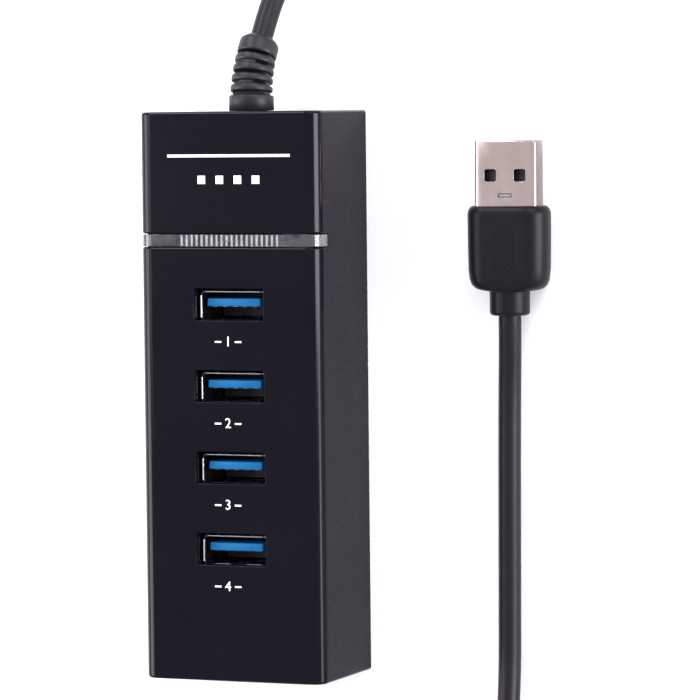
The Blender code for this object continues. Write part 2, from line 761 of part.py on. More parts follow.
def plug_mouth_y():
    return PLUG_BACK_Y + PLUG_COLLAR_LENGTH + GRIP_LENGTH + PLUG_EXPOSED


def make_plug_shell(paint):
    mouth = plug_mouth_y()
    rear = mouth - PLUG_EXPOSED - PLUG_HIDDEN
    inner_width, inner_thickness = PLUG_WIDTH - 2 * SHEET, PLUG_THICKNESS - 2 * SHEET
    inner_radius = PLUG_CORNER_RADIUS - SHEET * 0.8
    rings = [
        plug_ring(PLUG_WIDTH, PLUG_THICKNESS, PLUG_CORNER_RADIUS, rear, 3),
        plug_ring(PLUG_WIDTH, PLUG_THICKNESS, PLUG_CORNER_RADIUS, mouth, 3),
        plug_ring(inner_width, inner_thickness, inner_radius, mouth, 3),
        plug_ring(inner_width, inner_thickness, inner_radius, rear, 3),
    ]
    bm = bmesh.new()
    bridge_round(bm, [[bm.verts.new(p) for p in ring] for ring in rings])
    shell = add_object("plug_shell", mesh_from(bm, "plug_shell"), paint)
    for side in (-1, 1):
        centre = (PLUG_X + side * LATCH_HOLE_SPACING / 2, mouth - LATCH_HOLE_SETBACK)
        combine(shell, hole_mesh(centre, (LATCH_HOLE_SIZE, LATCH_HOLE_SIZE)))
    combine(shell, hole_mesh((PLUG_X, mouth - SMALL_SLOT_SETBACK), SMALL_SLOT_SIZE))
    smooth(shell)


def hole_mesh(centre, size):
    """A block that cuts a hole through the upper wall of the plug's shell."""
    wall_top = (GRIP_THICKNESS + PLUG_THICKNESS) / 2
    low = (centre[0] - size[0] / 2, centre[1] - size[1] / 2, wall_top - MM)
    high = (centre[0] + size[0] / 2, centre[1] + size[1] / 2, wall_top + MM)
    return box_mesh("hole", low, high)


def make_plug_tongue(paint):
    """The insulator that fills the lower half of the plug's mouth."""
    mouth = plug_mouth_y()
    half_x = PLUG_WIDTH / 2 - SHEET - GAP
    floor = GRIP_THICKNESS / 2 - PLUG_THICKNESS / 2 + SHEET + GAP
    box(
        "plug_tongue",
        (PLUG_X - half_x, mouth - PLUG_EXPOSED - PLUG_TONGUE_HIDDEN, floor),
        (PLUG_X + half_x, mouth - PLUG_TONGUE_SETBACK, floor + PLUG_TONGUE_THICKNESS),
        paint,
    )


# ---------------------------------------------------------------- everything


def main():
    clear_scene()
    gloss_black = material("gloss_black", (0.012, 0.011, 0.015), 0.12)
    matte_black = material("matte_black", (0.02, 0.018, 0.022), 0.5)
    soft_black = material("soft_black", (0.022, 0.02, 0.024), 0.45)
    clear = material("clear_plastic", (0.75, 0.76, 0.78), 0.15)
    nickel = material("nickel", (0.72, 0.67, 0.65), 0.25, 1.0)
    blue = material("blue_plastic", (0.02, 0.2, 0.6), 0.4)
    green = material("board_green", (0.02, 0.16, 0.06), 0.45)
    chip = material("chip_black", (0.03, 0.03, 0.03), 0.5)
    silver = material("silver", (0.8, 0.8, 0.8), 0.3, 1.0)
    lamp = material("lamp", (0.85, 0.85, 0.7), 0.3)
    red = material("wire_red", (0.55, 0.02, 0.02), 0.4)
    white = material("wire_white", (0.7, 0.7, 0.68), 0.4)

    make_front_housing(gloss_black)
    make_bottom_cover(matte_black)
    make_light_guide(clear)
    make_board(green)
    make_board_screws(silver)
    make_board_parts(chip, silver, lamp)
    make_ports(nickel, blue)
    make_boot(soft_black)
    make_lead(soft_black, matte_black)
    make_cable_tail(soft_black, (red, white, blue, green, chip))
    make_plug_overmold(soft_black)
    make_plug_shell(nickel)
    make_plug_tongue(blue)


main()
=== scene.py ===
"""The looks of a four-port USB hub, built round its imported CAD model.

The hub lies on its back, its ports face +Z, and its lead leaves the housing at +Y.
Everything is in metres, in the frame of the CAD model.
"""

import math

import bmesh
import bpy
from mathutils import Matrix, Vector
from mathutils.geometry import interpolate_bezier


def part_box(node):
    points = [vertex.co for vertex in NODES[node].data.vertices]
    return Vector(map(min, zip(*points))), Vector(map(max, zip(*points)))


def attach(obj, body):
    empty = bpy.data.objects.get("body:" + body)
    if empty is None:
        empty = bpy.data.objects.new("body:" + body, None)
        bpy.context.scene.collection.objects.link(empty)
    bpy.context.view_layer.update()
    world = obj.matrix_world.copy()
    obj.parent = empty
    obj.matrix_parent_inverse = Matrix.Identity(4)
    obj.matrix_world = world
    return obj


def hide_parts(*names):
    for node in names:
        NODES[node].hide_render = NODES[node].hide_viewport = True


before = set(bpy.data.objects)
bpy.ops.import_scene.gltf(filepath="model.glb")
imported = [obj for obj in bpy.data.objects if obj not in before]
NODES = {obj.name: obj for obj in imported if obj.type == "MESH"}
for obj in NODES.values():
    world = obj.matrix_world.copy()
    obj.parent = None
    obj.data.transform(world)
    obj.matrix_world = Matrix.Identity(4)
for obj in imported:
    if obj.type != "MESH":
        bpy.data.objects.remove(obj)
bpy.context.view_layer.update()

SCENE = bpy.context.scene

MM = 0.001
BODY = "root"
ON_SURFACE = 0.001 * MM  # what counts as touching
NEAR = 0.01 * MM  # what counts as close by
FACES_ASIDE = 0.6  # least share of X in the normal of a face on a side

# Light. Each softbox: its name, place, width and height in metres, and power in watts.
SOFTBOXES = [
    ("softbox_right", (0.75, 0.06, 0.22), 0.18, 0.46, 6.2),
    ("softbox_low_right", (0.78, -0.115, 0.12), 0.17, 0.20, 1.5),
    ("softbox_left", (-0.766, -0.01, 0.39), 0.36, 0.46, 5.6),
    ("overhead_left", (-0.60, 0.12, 0.84), 0.36, 0.34, 1.8),
    ("strip_end", (-0.37, 0.66, 0.55), 0.10, 0.60, 5.0),
    ("fill_end_right", (0.42, 0.64, 0.58), 0.50, 0.50, 5.0),
]
LIGHT_AIM = (0, 0.03, 0.02)
LIGHT_COLOR = (1.0, 0.96, 1.03)
WORLD_COLOR = (1.0, 0.985, 1.015)
WORLD_STRENGTH = 1.05

# The camera: which way it sees the hub from, and what it looks at.
VIEW_SIDEWAYS = math.radians(21.70)  # from overhead towards +X
VIEW_ENDWAYS = math.radians(3.54)  # from overhead towards +Y
VIEW_ROLL = math.radians(0.72)
VIEW_DISTANCE = 0.7948
VIEW_TARGET = Vector((19.15, 8.32, 12.0)) * MM
LENS_MM = 221.6
SENSOR_MM = 36.0

# Cord
CORD_RADIUS = 2.1 * MM
CORD_AXIS_HEIGHT = 12.0 * MM
CORD_STEP = 1.6 * MM  # between the points of the smoothed lead
CORD_INTO_BOOT = 1.6 * MM  # how far its ends are hidden
CORD_INTO_PLUG = 4.2 * MM
COIL_CENTRE = Vector((66.4, -78.9)) * MM
COIL_RADIUS = 19.6 * MM
COIL_TURNED = 540  # degrees: one and a half turns
COIL_STEP = 22.5
COIL_RISE = (218, 322)  # degrees between which the lead climbs onto its first pass
TIE_AT = 90  # degrees round the coil
TIE_REACH = 75  # degrees over which the coil is lifted by the strap below it
TIE_STRAP = 0.5 * MM
TIE_HALF_WIDTH = 2.0 * MM

# The middle line of the boot outside the wall.
BOOT_LINE = [
    (0.0, 52.5, 12.0), (0.0, 55.4, 12.0), (0.0, 58.0, 11.6),
    (0.12, 60.7, 10.85), (0.32, 63.3, 9.8), (0.6, 65.8, 8.6),
]

# Route of the lead from the boot, down to the surface and round to the coil.
HUB_ROUTE = [
    (0.7, 66.6, 8.2), (1.3, 71.2, 6.0), (2.3, 75.4, 4.1), (4.4, 79.6, 2.75),
    (8.2, 83.2, 2.15), (13.5, 86.0, 2.1), (20.3, 88.0, 2.1), (29.0, 89.0, 2.1),
    (39.0, 89.3, 2.1), (50.0, 89.3, 2.1), (60.0, 89.0, 2.1), (68.4, 87.7, 2.1),
    (75.6, 85.0, 2.1), (81.4, 80.6, 2.1), (85.4, 74.8, 2.1), (87.3, 67.5, 2.1),
    (87.8, 57.0, 2.1), (87.4, 42.0, 2.1), (87.0, 24.0, 2.1), (86.7, 6.0, 2.1),
    (86.5, -12.0, 2.1), (86.3, -30.0, 2.1), (86.0, -48.0, 2.1), (86.0, -65.3, 2.1),
]

# Route of the lead from the coil to the plug.
PLUG_ROUTE = [
    (46.8, -65.3, 5.2), (46.6, -58.0, 3.6), (46.5, -50.0, 2.4),
    (46.5, -40.0, 2.1), (46.6, -26.0, 2.1), (46.7, -12.0, 2.1),
    (46.9, 0.0, 2.3), (47.3, 7.0, 3.1), (47.7, 14.3, 4.1),
]

# Housing, read from the CAD model where it can be
HOUSING_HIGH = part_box("front_housing")[1]
HALF_X = HOUSING_HIGH.x
HALF_Y = HOUSING_HIGH.y
TOP = HOUSING_HIGH.z
WALL = 1.8 * MM
FRONT_WALL = 1.7 * MM
LONG_EDGE_RADIUS = 2.7 * MM
END_EDGE_RADIUS = 0.5 * MM
RIM_RADIUS = 0.4 * MM  # rounding of the panel edges beside the light guide
GAP = 0.3 * MM

PORTS = (1, 2, 3, 4)
FIRST_PORT_Y = 17.1 * MM
PORT_PITCH = 15.05 * MM
WINDOW_WIDTH = 13.8 * MM
WINDOW_DEPTH = 5.9 * MM
WINDOW_CORNER = 0.35 * MM

SHEET = 0.3 * MM  # the shells of the ports and the plug
LINING = 0.9 * SHEET  # how far in the painted shade inside a shell begins
LINING_SETBACK = 0.18 * MM  # how far below a port's mouth it begins
LIP_DROP = 0.5 * MM  # depth of the notches between the lips of a port's mouth
LIP_NOTCH_X = 1.1 * MM
LIP_NOTCH_Y = 0.86 * MM
FINGER_LENGTH = 5.2 * MM
FINGER_WIDTH = 2.4 * MM
FINGER_GAP = 0.35 * MM  # of the cut round each spring finger
FINGER_DROP = 1.6 * MM  # from the mouth to the fingers
FINGER_SPOT = 0.24  # share of the shell's width
FINGER_BOW = 0.55 * MM
FINGER_TRIM = 0.1 * MM  # by which a finger is smaller than its place
FINGER_THICKNESS = 0.2 * MM
FINGER_STEPS = 8
SEAT_HEIGHT = 4.0 * MM
TONGUE_WIDTH = 10.6 * MM
TONGUE_THICKNESS = 1.5 * MM
TONGUE_TIP_INSET = 0.18 * MM
TONGUE_OFFSET = 0.3 * MM  # the tongue lies this much above the middle of its window

GUIDE_LOW, GUIDE_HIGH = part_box("light_guide_bar")
RIB_COUNT = 20
RIB_PITCH = 1.0 * MM
RIB_FIRST_X = -9.0 * MM
GUIDE_FOOT = TOP - 4.4 * MM  # how far down the guide wraps onto the sides
GUIDE_CLEARANCE = 0.12 * MM
GUIDE_INSET = 0.03 * MM  # from the housing's outer surface
GUIDE_STEM_HALF = 10 * MM
GUIDE_END_DEPTH = 0.9 * MM  # of the bright zone at each end of the guide
ARC_STEPS = 14

NUMERAL_SIZE = 2.6 * MM
LABEL_X = -0.15 * MM
LABEL_SHIFT = -0.18 * MM  # from each label to the next
LABEL_DROP = 6.85 * MM
LABEL_RULE = Vector((1.3, 0.3)) * MM
LABEL_RULE_OFFSET = 2.0 * MM
TITLE_X = 0.3 * MM
TITLE_RULE_Y = 44.4 * MM
TITLE_RULE = Vector((24.4, 0.5)) * MM
SQUARES_Y = 40.0 * MM
SQUARE_SIZE = 1.5 * MM
SQUARE_PITCH = 3.6 * MM
PRINT_THICKNESS = 0.008 * MM  # above and below the face

BOOT_COLLAR_RADIUS = 4.2 * MM
BOOT_NECK_RADIUS = 3.0 * MM
BOOT_HOLE_CLEARANCE = 0.1 * MM
BOOT_FLANGE_THICKNESS = 1.3 * MM
BOOT_COLLAR_END = 55.4 * MM
BOOT_RING_COUNT = 5
BOOT_RING_PITCH = 1.75 * MM
BOOT_CREST_RADIUS = 3.95 * MM  # of the first ring
BOOT_CREST_TAPER = 0.05 * MM  # from each ring to the next
# One ring, in mm: how far along it, and how far below its crest.
BOOT_RING_PROFILE = [
    (0.08, 0.42), (0.48, 0.42), (0.56, 0.2), (0.72, 0.04),
    (0.95, 0.0), (1.35, 0.0), (1.6, 0.06), (1.72, 0.22),
]
# The cap at the boot's end, in mm: how far along it, and its radius.
BOOT_CAP_PROFILE = [(0.9, 3.74), (1.3, 3.7), (1.5, 3.58), (2.15, 2.95), (2.3, 2.7), (2.3, 2.2)]
BOOT_SLOT_SIZE = Vector((7.6, 0.66, 4.2)) * MM
BOOT_SLOT_OFFSET = 3.4 * MM

# Plug, read from the CAD model
GRIP_LOW, GRIP_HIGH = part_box("plug_overmold")
PLUG_LOW, PLUG_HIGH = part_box("plug_shell")
PLUG_X = (PLUG_LOW.x + PLUG_HIGH.x) / 2
PLUG_MIDDLE_Z = (PLUG_LOW.z + PLUG_HIGH.z) / 2
PLUG_BACK_Y = GRIP_LOW.y
PLUG_MOUTH_Y = PLUG_HIGH.y
PLUG_WIDTH = PLUG_HIGH.x - PLUG_LOW.x
PLUG_THICKNESS = PLUG_HIGH.z - PLUG_LOW.z
COLLAR_LENGTH = 4.5 * MM
COLLAR_RADIUS = 3.7 * MM
# The collar's end at the lead, in mm: how far along it, and how much thinner it is.
COLLAR_PROFILE = [(0.0, 2.8), (0.0, 1.2), (0.1, 0.6), (0.35, 0.15), (0.7, 0.0)]
# The grip's two ends: mm from the end, and the shares of its full width and thickness.
SHOULDER_PROFILE = [
    (0.5, 0.83, 0.94), (1.1, 0.91, 0.965), (2.1, 0.96, 0.985),
    (4.0, 0.985, 1), (8.0, 0.995, 1),
]
GRIP_END_PROFILE = [
    (-1.6, 1, 1), (-1.0, 0.992, 0.985), (-0.5, 0.97, 0.95),
    (-0.15, 0.935, 0.89), (0.0, 0.89, 0.82),
]
GRIP_CORNER = 3.8 * MM
SOCKET_ROOM = 0.08 * MM  # of the grip's socket round the shell, both sides together
SOCKET_CORNER = 0.7 * MM
SOCKET_DEPTH = 5.9 * MM
LATCH_HOLE = 2.3 * MM
LATCH_CORNER = 0.5 * MM
LATCH_X = 2.85 * MM
LATCH_SETBACK = 6.4 * MM  # from the mouth
TAB_SETBACK = 10.1 * MM
TAB_GROOVE_OUTER = Vector((2.8, 0.86)) * MM
TAB_GROOVE_INNER = Vector((2.3, 0.4)) * MM
TAB_GROOVE_DEPTH = 0.22 * MM
TAB_ZONE = Vector((1.5, 0.5)) * MM  # half the size of the zone whose sunk faces get painted shade
TAB_ZONE_Z = (-0.25 * MM, -0.04 * MM)  # where those faces are, from the shell's top
SEAM_HALF = 0.04 * MM
SEAM_DEPTH = 0.15 * MM

# Rows of contacts: how many, the first one's X from the middle, the pitch and the width.
LONG_CONTACTS = (4, -3.5 * MM, 2.333 * MM, 1.0 * MM)
SHORT_CONTACTS = (5, -4.0 * MM, 2.0 * MM, 0.7 * MM)

# Each rib from right to left: the share of its pitch, and how far it drops, in mm.
RIB_PROFILE = [
    (0.49, 0.19), (0.40, 0.16), (0.07, 0.02), (0.0, 0.0),
    (-0.07, 0.02), (-0.40, 0.16), (-0.49, 0.19),
]


# ---------------- mesh helpers


def add_object(name, data, *paints):
    made = bpy.data.objects.new(name, data)
    SCENE.collection.objects.link(made)
    for paint in paints:
        data.materials.append(paint)
    return made


def mesh_from(bm, name):
    bmesh.ops.recalc_face_normals(bm, faces=bm.faces)
    mesh = bpy.data.meshes.new(name)
    bm.to_mesh(mesh)
    bm.free()
    return mesh


def box_into(bm, low, high):
    size = Vector(high) - Vector(low)
    middle = (Vector(high) + Vector(low)) / 2
    return bmesh.ops.create_cube(bm, size=1.0, matrix=Matrix.LocRotScale(middle, None, size))


def box_mesh(name, low, high):
    bm = bmesh.new()
    box_into(bm, low, high)
    return mesh_from(bm, name)


def rounded_outline(width, depth, radius, steps=6):
    """Points round a rectangle with rounded corners, centred on zero."""
    points = []
    for quarter, (side_x, side_y) in enumerate(((1, 1), (-1, 1), (-1, -1), (1, -1))):
        centre = Vector((side_x * (width / 2 - radius), side_y * (depth / 2 - radius)))
        for step in range(steps + 1):
            angle = math.radians(90 * (quarter + step / steps))
            points.append(centre + radius * Vector((math.cos(angle), math.sin(angle))))
    return points


def flat_ring(width, depth, radius, steps, x, y, z):
    """A horizontal rounded rectangle round a place."""
    outline = rounded_outline(width, depth, radius, steps)
    return [Vector((x + p.x, y + p.y, z)) for p in outline]


def loft_into(bm, rings, closed=False):
    """A body through rings of equally many points: capped, or closed on itself."""
    made = [[bm.verts.new(point) for point in ring] for ring in rings]
    count = len(made[0])
    follow = made[1:] + made[:1] if closed else made[1:]
    for lower, upper in zip(made, follow):
        for k in range(count):
            n = (k + 1) % count
            bm.faces.new((lower[k], lower[n], upper[n], upper[k]))
    if not closed:
        bm.faces.new(made[0])
        bm.faces.new(made[-1])


def loft_mesh(name, rings, closed=False):
    bm = bmesh.new()
    loft_into(bm, rings, closed)
    return mesh_from(bm, name)


def arc(centre, radius, start):
    """Points on a quarter circle, from the start angle in degrees."""
    points = []
    for step in range(ARC_STEPS + 1):
        angle = math.radians(start + 90 * step / ARC_STEPS)
        points.append(centre + radius * Vector((math.cos(angle), math.sin(angle))))
    return points


def smooth(piece, angle):
    piece.data.shade_smooth()
    piece.data.set_sharp_from_angle(angle=math.radians(angle))
    return piece


def weighted(piece):
    """Flat faces keep flat shading right up to the rounded edges beside them."""
    step = piece.modifiers.new("weighted", "WEIGHTED_NORMAL")
    step.keep_sharp = True
    step.weight = 100
    return piece


def bevelled(piece, width, segments=2, angle=40):
    step = piece.modifiers.new("bevel", "BEVEL")
    step.width = width
    step.segments = segments
    step.limit_method = "ANGLE"
    step.angle_limit = math.radians(angle)
    step.harden_normals = True
    return piece


def evaluated_mesh(piece):
    """The mesh that the piece's modifiers, or its text, come to."""
    bpy.context.view_layer.update()
    graph = bpy.context.evaluated_depsgraph_get()
    return bpy.data.meshes.new_from_object(piece.evaluated_get(graph))


def carve(piece, tools):
    """Cuts each tool mesh out of the piece, in turn."""
    for mesh in tools:
        tool = add_object("tool", mesh)
        step = piece.modifiers.new("carve", "BOOLEAN")
        step.operation = "DIFFERENCE"
        step.solver = "EXACT"
        step.object = tool
        shaped = evaluated_mesh(piece)
        piece.modifiers.remove(step)
        old = piece.data
        piece.data = shaped
        bpy.data.meshes.remove(old)
        bpy.data.objects.remove(tool)
    return piece


def smooth_line(points, step):
    """Points about a step apart on a smooth curve through the given points, in metres."""
    knots = [Vector(p) for p in points]
    padded = [2 * knots[0] - knots[1], *knots, 2 * knots[-1] - knots[-2]]
    line = []
    for k in range(1, len(padded) - 2):
        before, start, end, after = padded[k - 1 : k + 3]
        span = (end - start).length
        out = (end - before).normalized() * span / 3
        into = (after - start).normalized() * span / 3
        pieces = max(1, round(span / step))
        line += interpolate_bezier(start, start + out, end - into, end, pieces + 1)[:-1]
    return line + [knots[-1]]


def finished(piece, node_slot, *nodes):
    """The piece rides on the hub and stands for the CAD nodes, which are hidden. The node slot is
    not used.
    """
    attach(piece, BODY)
    if nodes:
        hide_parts(*nodes)
    return piece


def port_y(number):
    return FIRST_PORT_Y - (number - 1) * PORT_PITCH


# ---------------- materials


class Shader:
    """A Principled material with helpers for the few nodes that the pieces need."""

    def __init__(self, name, color, roughness, metallic=0.0, **sockets):
        self.material = bpy.data.materials.new(name)
        self.material.use_nodes = True
        self.nodes = self.material.node_tree.nodes
        self.links = self.material.node_tree.links
        self.shader = self.nodes["Principled BSDF"]
        self.set("Base Color", (*color, 1.0))
        self.set("Roughness", roughness)
        self.set("Metallic", metallic)
        for key, value in sockets.items():
            self.set(key.replace("_", " "), value)

    def set(self, socket, value):
        self.shader.inputs[socket].default_value = value

    def add(self, kind, **values):
        node = self.nodes.new(kind)
        for socket, value in values.items():
            node.inputs[socket].default_value = value
        return node

    def noise(self, scale, detail=3.0, stretch=(1, 1, 1)):
        """Noise in object coordinates, in metres, stretched where that is asked for."""
        coords = self.add("ShaderNodeTexCoord")
        mapping = self.add("ShaderNodeMapping", Scale=stretch)
        self.links.new(coords.outputs["Object"], mapping.inputs["Vector"])
        node = self.add("ShaderNodeTexNoise", Scale=scale, Detail=detail)
        self.links.new(mapping.outputs["Vector"], node.inputs["Vector"])
        return node.outputs["Fac"]

    def vary_roughness(self, factor, low, high):
        spans = {"To Min": low, "To Max": high, "From Min": 0.3, "From Max": 0.7}
        node = self.add("ShaderNodeMapRange", **spans)
        self.links.new(factor, node.inputs["Value"])
        self.links.new(node.outputs["Result"], self.shader.inputs["Roughness"])

    def vary_color(self, factor, dark, light):
        ramp = self.add("ShaderNodeValToRGB")
        for stop, color, position in zip(ramp.color_ramp.elements, (dark, light), (0.3, 0.7)):
            stop.color = (*color, 1.0)
            stop.position = position
        self.links.new(factor, ramp.inputs["Fac"])
        self.links.new(ramp.outputs["Color"], self.shader.inputs["Base Color"])

    def bump(self, height, distance, strength):
        node = self.add("ShaderNodeBump", Strength=strength, Distance=distance)
        self.links.new(height, node.inputs["Height"])
        self.links.new(node.outputs["Normal"], self.shader.inputs["Normal"])


def opaque(name, color, roughness, specular=0.5, metallic=0.0, tint=None, finish=None, grain=None):
    """A plastic, rubber or metal. Tint, finish and grain begin with what their noise takes."""
    made = Shader(name, color, roughness, metallic, Specular_IOR_Level=specular)
    if tint:
        noise, dark, light = tint
        made.vary_color(made.noise(*noise), dark, light)
    if finish:
        noise, low, high = finish
        made.vary_roughness(made.noise(*noise), low, high)
    if grain:
        noise, distance, strength = grain
        made.bump(made.noise(*noise), distance, strength)
    return made.material


def clear_plastic(name, color, roughness, transmission, tint, finish):
    """Clear plastic with a fine haze. Tint begins with the scale of its noise."""
    made = Shader(name, color, roughness, Transmission_Weight=transmission, IOR=1.49)
    scale, dark, light = tint
    made.vary_color(made.noise(scale, 4), dark, light)
    made.vary_roughness(made.noise(1300), *finish)
    made.bump(made.noise(900, 3), 0.00005, 0.25)
    return made.material


def nickel(name="nickel", shade_factor=1.0):
    """The plug's plating. The shade factor darkens it, a painted shade for the faces that face
    aside.
    """
    made = Shader(name, (0.44 * shade_factor, 0.36 * shade_factor, 0.345 * shade_factor), 0.16, 1.0)
    dark, light = (0.42, 0.345, 0.33), (0.46, 0.375, 0.36)
    made.vary_color(made.noise(260, 2), [shade_factor * c for c in dark], [shade_factor * c for c in light])
    made.vary_roughness(made.noise(700, 4, (1, 0.15, 1)), 0.12, 0.21)
    made.bump(made.noise(3000, 2, (1, 0.05, 1)), 0.000004, 0.4)
    return made.material


def plain(name, dark, light, low, high, metallic=0.0):
    """A simple finish, for what is small, hidden or both."""
    made = Shader(name, light, high, metallic)
    made.vary_color(made.noise(900), dark, light)
    made.vary_roughness(made.noise(2070), low, high)
    made.bump(made.noise(2700), 0.00001, 0.3)
    return made.material


PAINT = {
    "gloss": opaque(
        "gloss_black", (0.003, 0.002, 0.005), 0.12, 0.10,
        tint=((45, 2), (0.0020, 0.0014, 0.0038), (0.0030, 0.0024, 0.0052)),
        finish=((900, 4), 0.10, 0.15),
        grain=((60, 1), 0.00002, 0.25),
    ),
    # The flat sides and ends of the housing, which have no mirror gloss.
    "satin": opaque(
        "satin_black", (0.007, 0.006, 0.010), 0.3, 0.03,
        tint=((60, 2), (0.0060, 0.0047, 0.0085), (0.0085, 0.0070, 0.0112)),
        finish=((1600, 4), 0.24, 0.36),
        grain=((2800, 2), 0.00001, 0.3),
    ),
    "matte": opaque(
        "matte_black", (0.02, 0.018, 0.022), 0.5, 0.4,
        tint=((300,), (0.016, 0.0145, 0.018), (0.024, 0.022, 0.026)),
        finish=((2600,), 0.45, 0.58),
        grain=((2600, 2), 0.00003, 0.5),
    ),
    "cord": opaque(
        "cord_rubber", (0.004, 0.003, 0.005), 0.4, 0.2,
        tint=((400,), (0.0030, 0.0018, 0.0040), (0.0052, 0.0036, 0.0068)),
        finish=((1800,), 0.36, 0.46),
        grain=((2200, 2), 0.00002, 0.4),
    ),
    "boot": opaque(
        "boot_rubber", (0.008, 0.007, 0.009), 0.42, 0.28,
        tint=((500,), (0.006, 0.005, 0.008), (0.010, 0.009, 0.012)),
        finish=((2400,), 0.36, 0.5),
        grain=((2600, 2), 0.00002, 0.4),
    ),
    "grip": opaque(
        "grip_plastic", (0.004, 0.003, 0.005), 0.36, 0.13,
        tint=((350,), (0.003, 0.002, 0.004), (0.005, 0.004, 0.006)),
        finish=((4200, 4), 0.32, 0.44),
        grain=((5200, 3), 0.00002, 0.5),
    ),
    "nickel": nickel(),
    # A darker copy of the plating: painted shade on the plug shell's sides.
    "nickel_painted_shade": nickel("nickel_painted_shade", 0.5),
    "tin": opaque(
        "bright_tin", (0.44, 0.43, 0.46), 0.18, metallic=1.0,
        finish=((1500,), 0.12, 0.24),
        grain=((2600, 2), 0.000004, 0.4),
    ),
    # Painted shade: a dark copy of the tin for the inside of a stamped shell, where hardly any
    # light comes.
    "tin_painted_shade": opaque(
        "tin_painted_shade", (0.14, 0.125, 0.17), 0.32, metallic=1.0,
        tint=((900,), (0.11, 0.10, 0.14), (0.18, 0.165, 0.22)),
        finish=((1500,), 0.25, 0.4),
    ),
    "blue": opaque(
        "blue_plastic", (0.003, 0.13, 0.33), 0.34, 0.18,
        tint=((300,), (0.002, 0.12, 0.31), (0.004, 0.14, 0.35)),
        finish=((1500,), 0.32, 0.44),
    ),
    # Painted shade: a black for the bottom of each port and the step under the plug's holes, where
    # shade falls.
    "painted_shade_black": plain("socket_painted_shade", (0.006, 0.004, 0.010), (0.010, 0.007, 0.016), 0.4, 0.6),
    "clear": clear_plastic(
        "clear_plastic", (0.30, 0.30, 0.33), 0.08, 0.85,
        tint=(420, (0.05, 0.05, 0.055), (0.30, 0.29, 0.32)),
        finish=(0.05, 0.12),
    ),
    # The clear bar where its ends are seen from the side.
    "frosted": clear_plastic(
        "frosted_plastic", (0.16, 0.16, 0.17), 0.2, 0.5,
        tint=(520, (0.08, 0.08, 0.085), (0.26, 0.255, 0.27)),
        finish=(0.14, 0.26),
    ),
    "gold": opaque(
        "gold_contact", (0.83, 0.60, 0.26), 0.22, metallic=1.0, finish=((2500,), 0.16, 0.3)
    ),
    "print": opaque(
        "print_white", (0.86, 0.86, 0.88), 0.45,
        tint=((3000,), (0.80, 0.80, 0.82), (0.90, 0.90, 0.92)),
    ),
    "board": plain("board_green", (0.012, 0.10, 0.045), (0.02, 0.15, 0.065), 0.3, 0.5),
    "chip": plain("chip_black", (0.02, 0.02, 0.02), (0.035, 0.035, 0.035), 0.4, 0.6),
    "zinc": plain("zinc", (0.5, 0.5, 0.52), (0.68, 0.68, 0.70), 0.25, 0.4, 1.0),
    "can": plain("tinned_can", (0.66, 0.66, 0.68), (0.8, 0.8, 0.8), 0.25, 0.4, 1.0),
    "lamp": plain("lamp_resin", (0.75, 0.74, 0.6), (0.9, 0.89, 0.75), 0.25, 0.4),
    "red": plain("wire_red", (0.4, 0.012, 0.012), (0.55, 0.02, 0.02), 0.35, 0.5),
    "white": plain("wire_white", (0.62, 0.62, 0.6), (0.78, 0.78, 0.75), 0.35, 0.5),
    "green": plain("wire_green", (0.012, 0.22, 0.05), (0.02, 0.32, 0.08), 0.35, 0.5),
}


# ---------------- camera


def make_camera():
    sideways = Matrix.Rotation(VIEW_SIDEWAYS, 3, "Y")
    endways = Matrix.Rotation(-VIEW_ENDWAYS, 3, "X")
    turn = endways @ sideways @ Matrix.Rotation(VIEW_ROLL, 3, "Z")
    data = bpy.data.cameras.new("camera")
    data.lens = LENS_MM
    data.sensor_width = SENSOR_MM
    data.clip_start = 0.01
    camera = add_object("camera", data)
    place = VIEW_TARGET + turn.col[2] * VIEW_DISTANCE
    camera.matrix_world = Matrix.Translation(place) @ turn.to_4x4()
    SCENE.camera = camera


# ---------------- lead


def ease(value):
    value = min(1.0, max(0.0, value))
    return value * value * (3 - 2 * value)


def coil_points():
    """One and a half turns, clockwise from +X, the second pass lying on the first."""
    rise_start, rise_end = COIL_RISE
    points = []
    for k in range(int(COIL_TURNED / COIL_STEP) + 1):
        turned = k * COIL_STEP
        angle = math.radians(-turned)
        height = CORD_RADIUS
        height += 2 * CORD_RADIUS * ease((turned - rise_start) / (rise_end - rise_start))
        off_tie = min(abs(turned - TIE_AT), abs(turned - TIE_AT - 360))
        height += TIE_STRAP * ease(1 - off_tie / TIE_REACH)
        spot = COIL_CENTRE + COIL_RADIUS * Vector((math.cos(angle), math.sin(angle)))
        points.append(Vector((spot.x, spot.y, height)))
    return points


def make_lead(paint):
    hub_run = [Vector(p) * MM for p in HUB_ROUTE]
    plug_run = [Vector(p) * MM for p in PLUG_ROUTE]
    into_boot = (Vector(BOOT_LINE[-2]) * MM - hub_run[0]).normalized()
    start = [hub_run[0] + CORD_INTO_BOOT * into_boot]
    inside_plug = [Vector((PLUG_X, PLUG_BACK_Y + CORD_INTO_PLUG, PLUG_MIDDLE_Z))]
    line = smooth_line(start + hub_run + coil_points() + plug_run + inside_plug, CORD_STEP)
    curve = bpy.data.curves.new("usb_lead", "CURVE")
    curve.dimensions = "3D"
    curve.bevel_depth = CORD_RADIUS
    curve.bevel_resolution = 6
    curve.use_fill_caps = True
    curve.twist_mode = "MINIMUM"
    spline = curve.splines.new("POLY")
    spline.points.add(len(line) - 1)
    for point, place in zip(spline.points, line):
        point.co = (*place, 1.0)
    spline.use_smooth = True
    lead = add_object("usb_lead", curve, paint)
    return finished(lead, "cord_jacket", "lead_hub_run", "lead_coil", "lead_plug_run")


# ---------------- boot


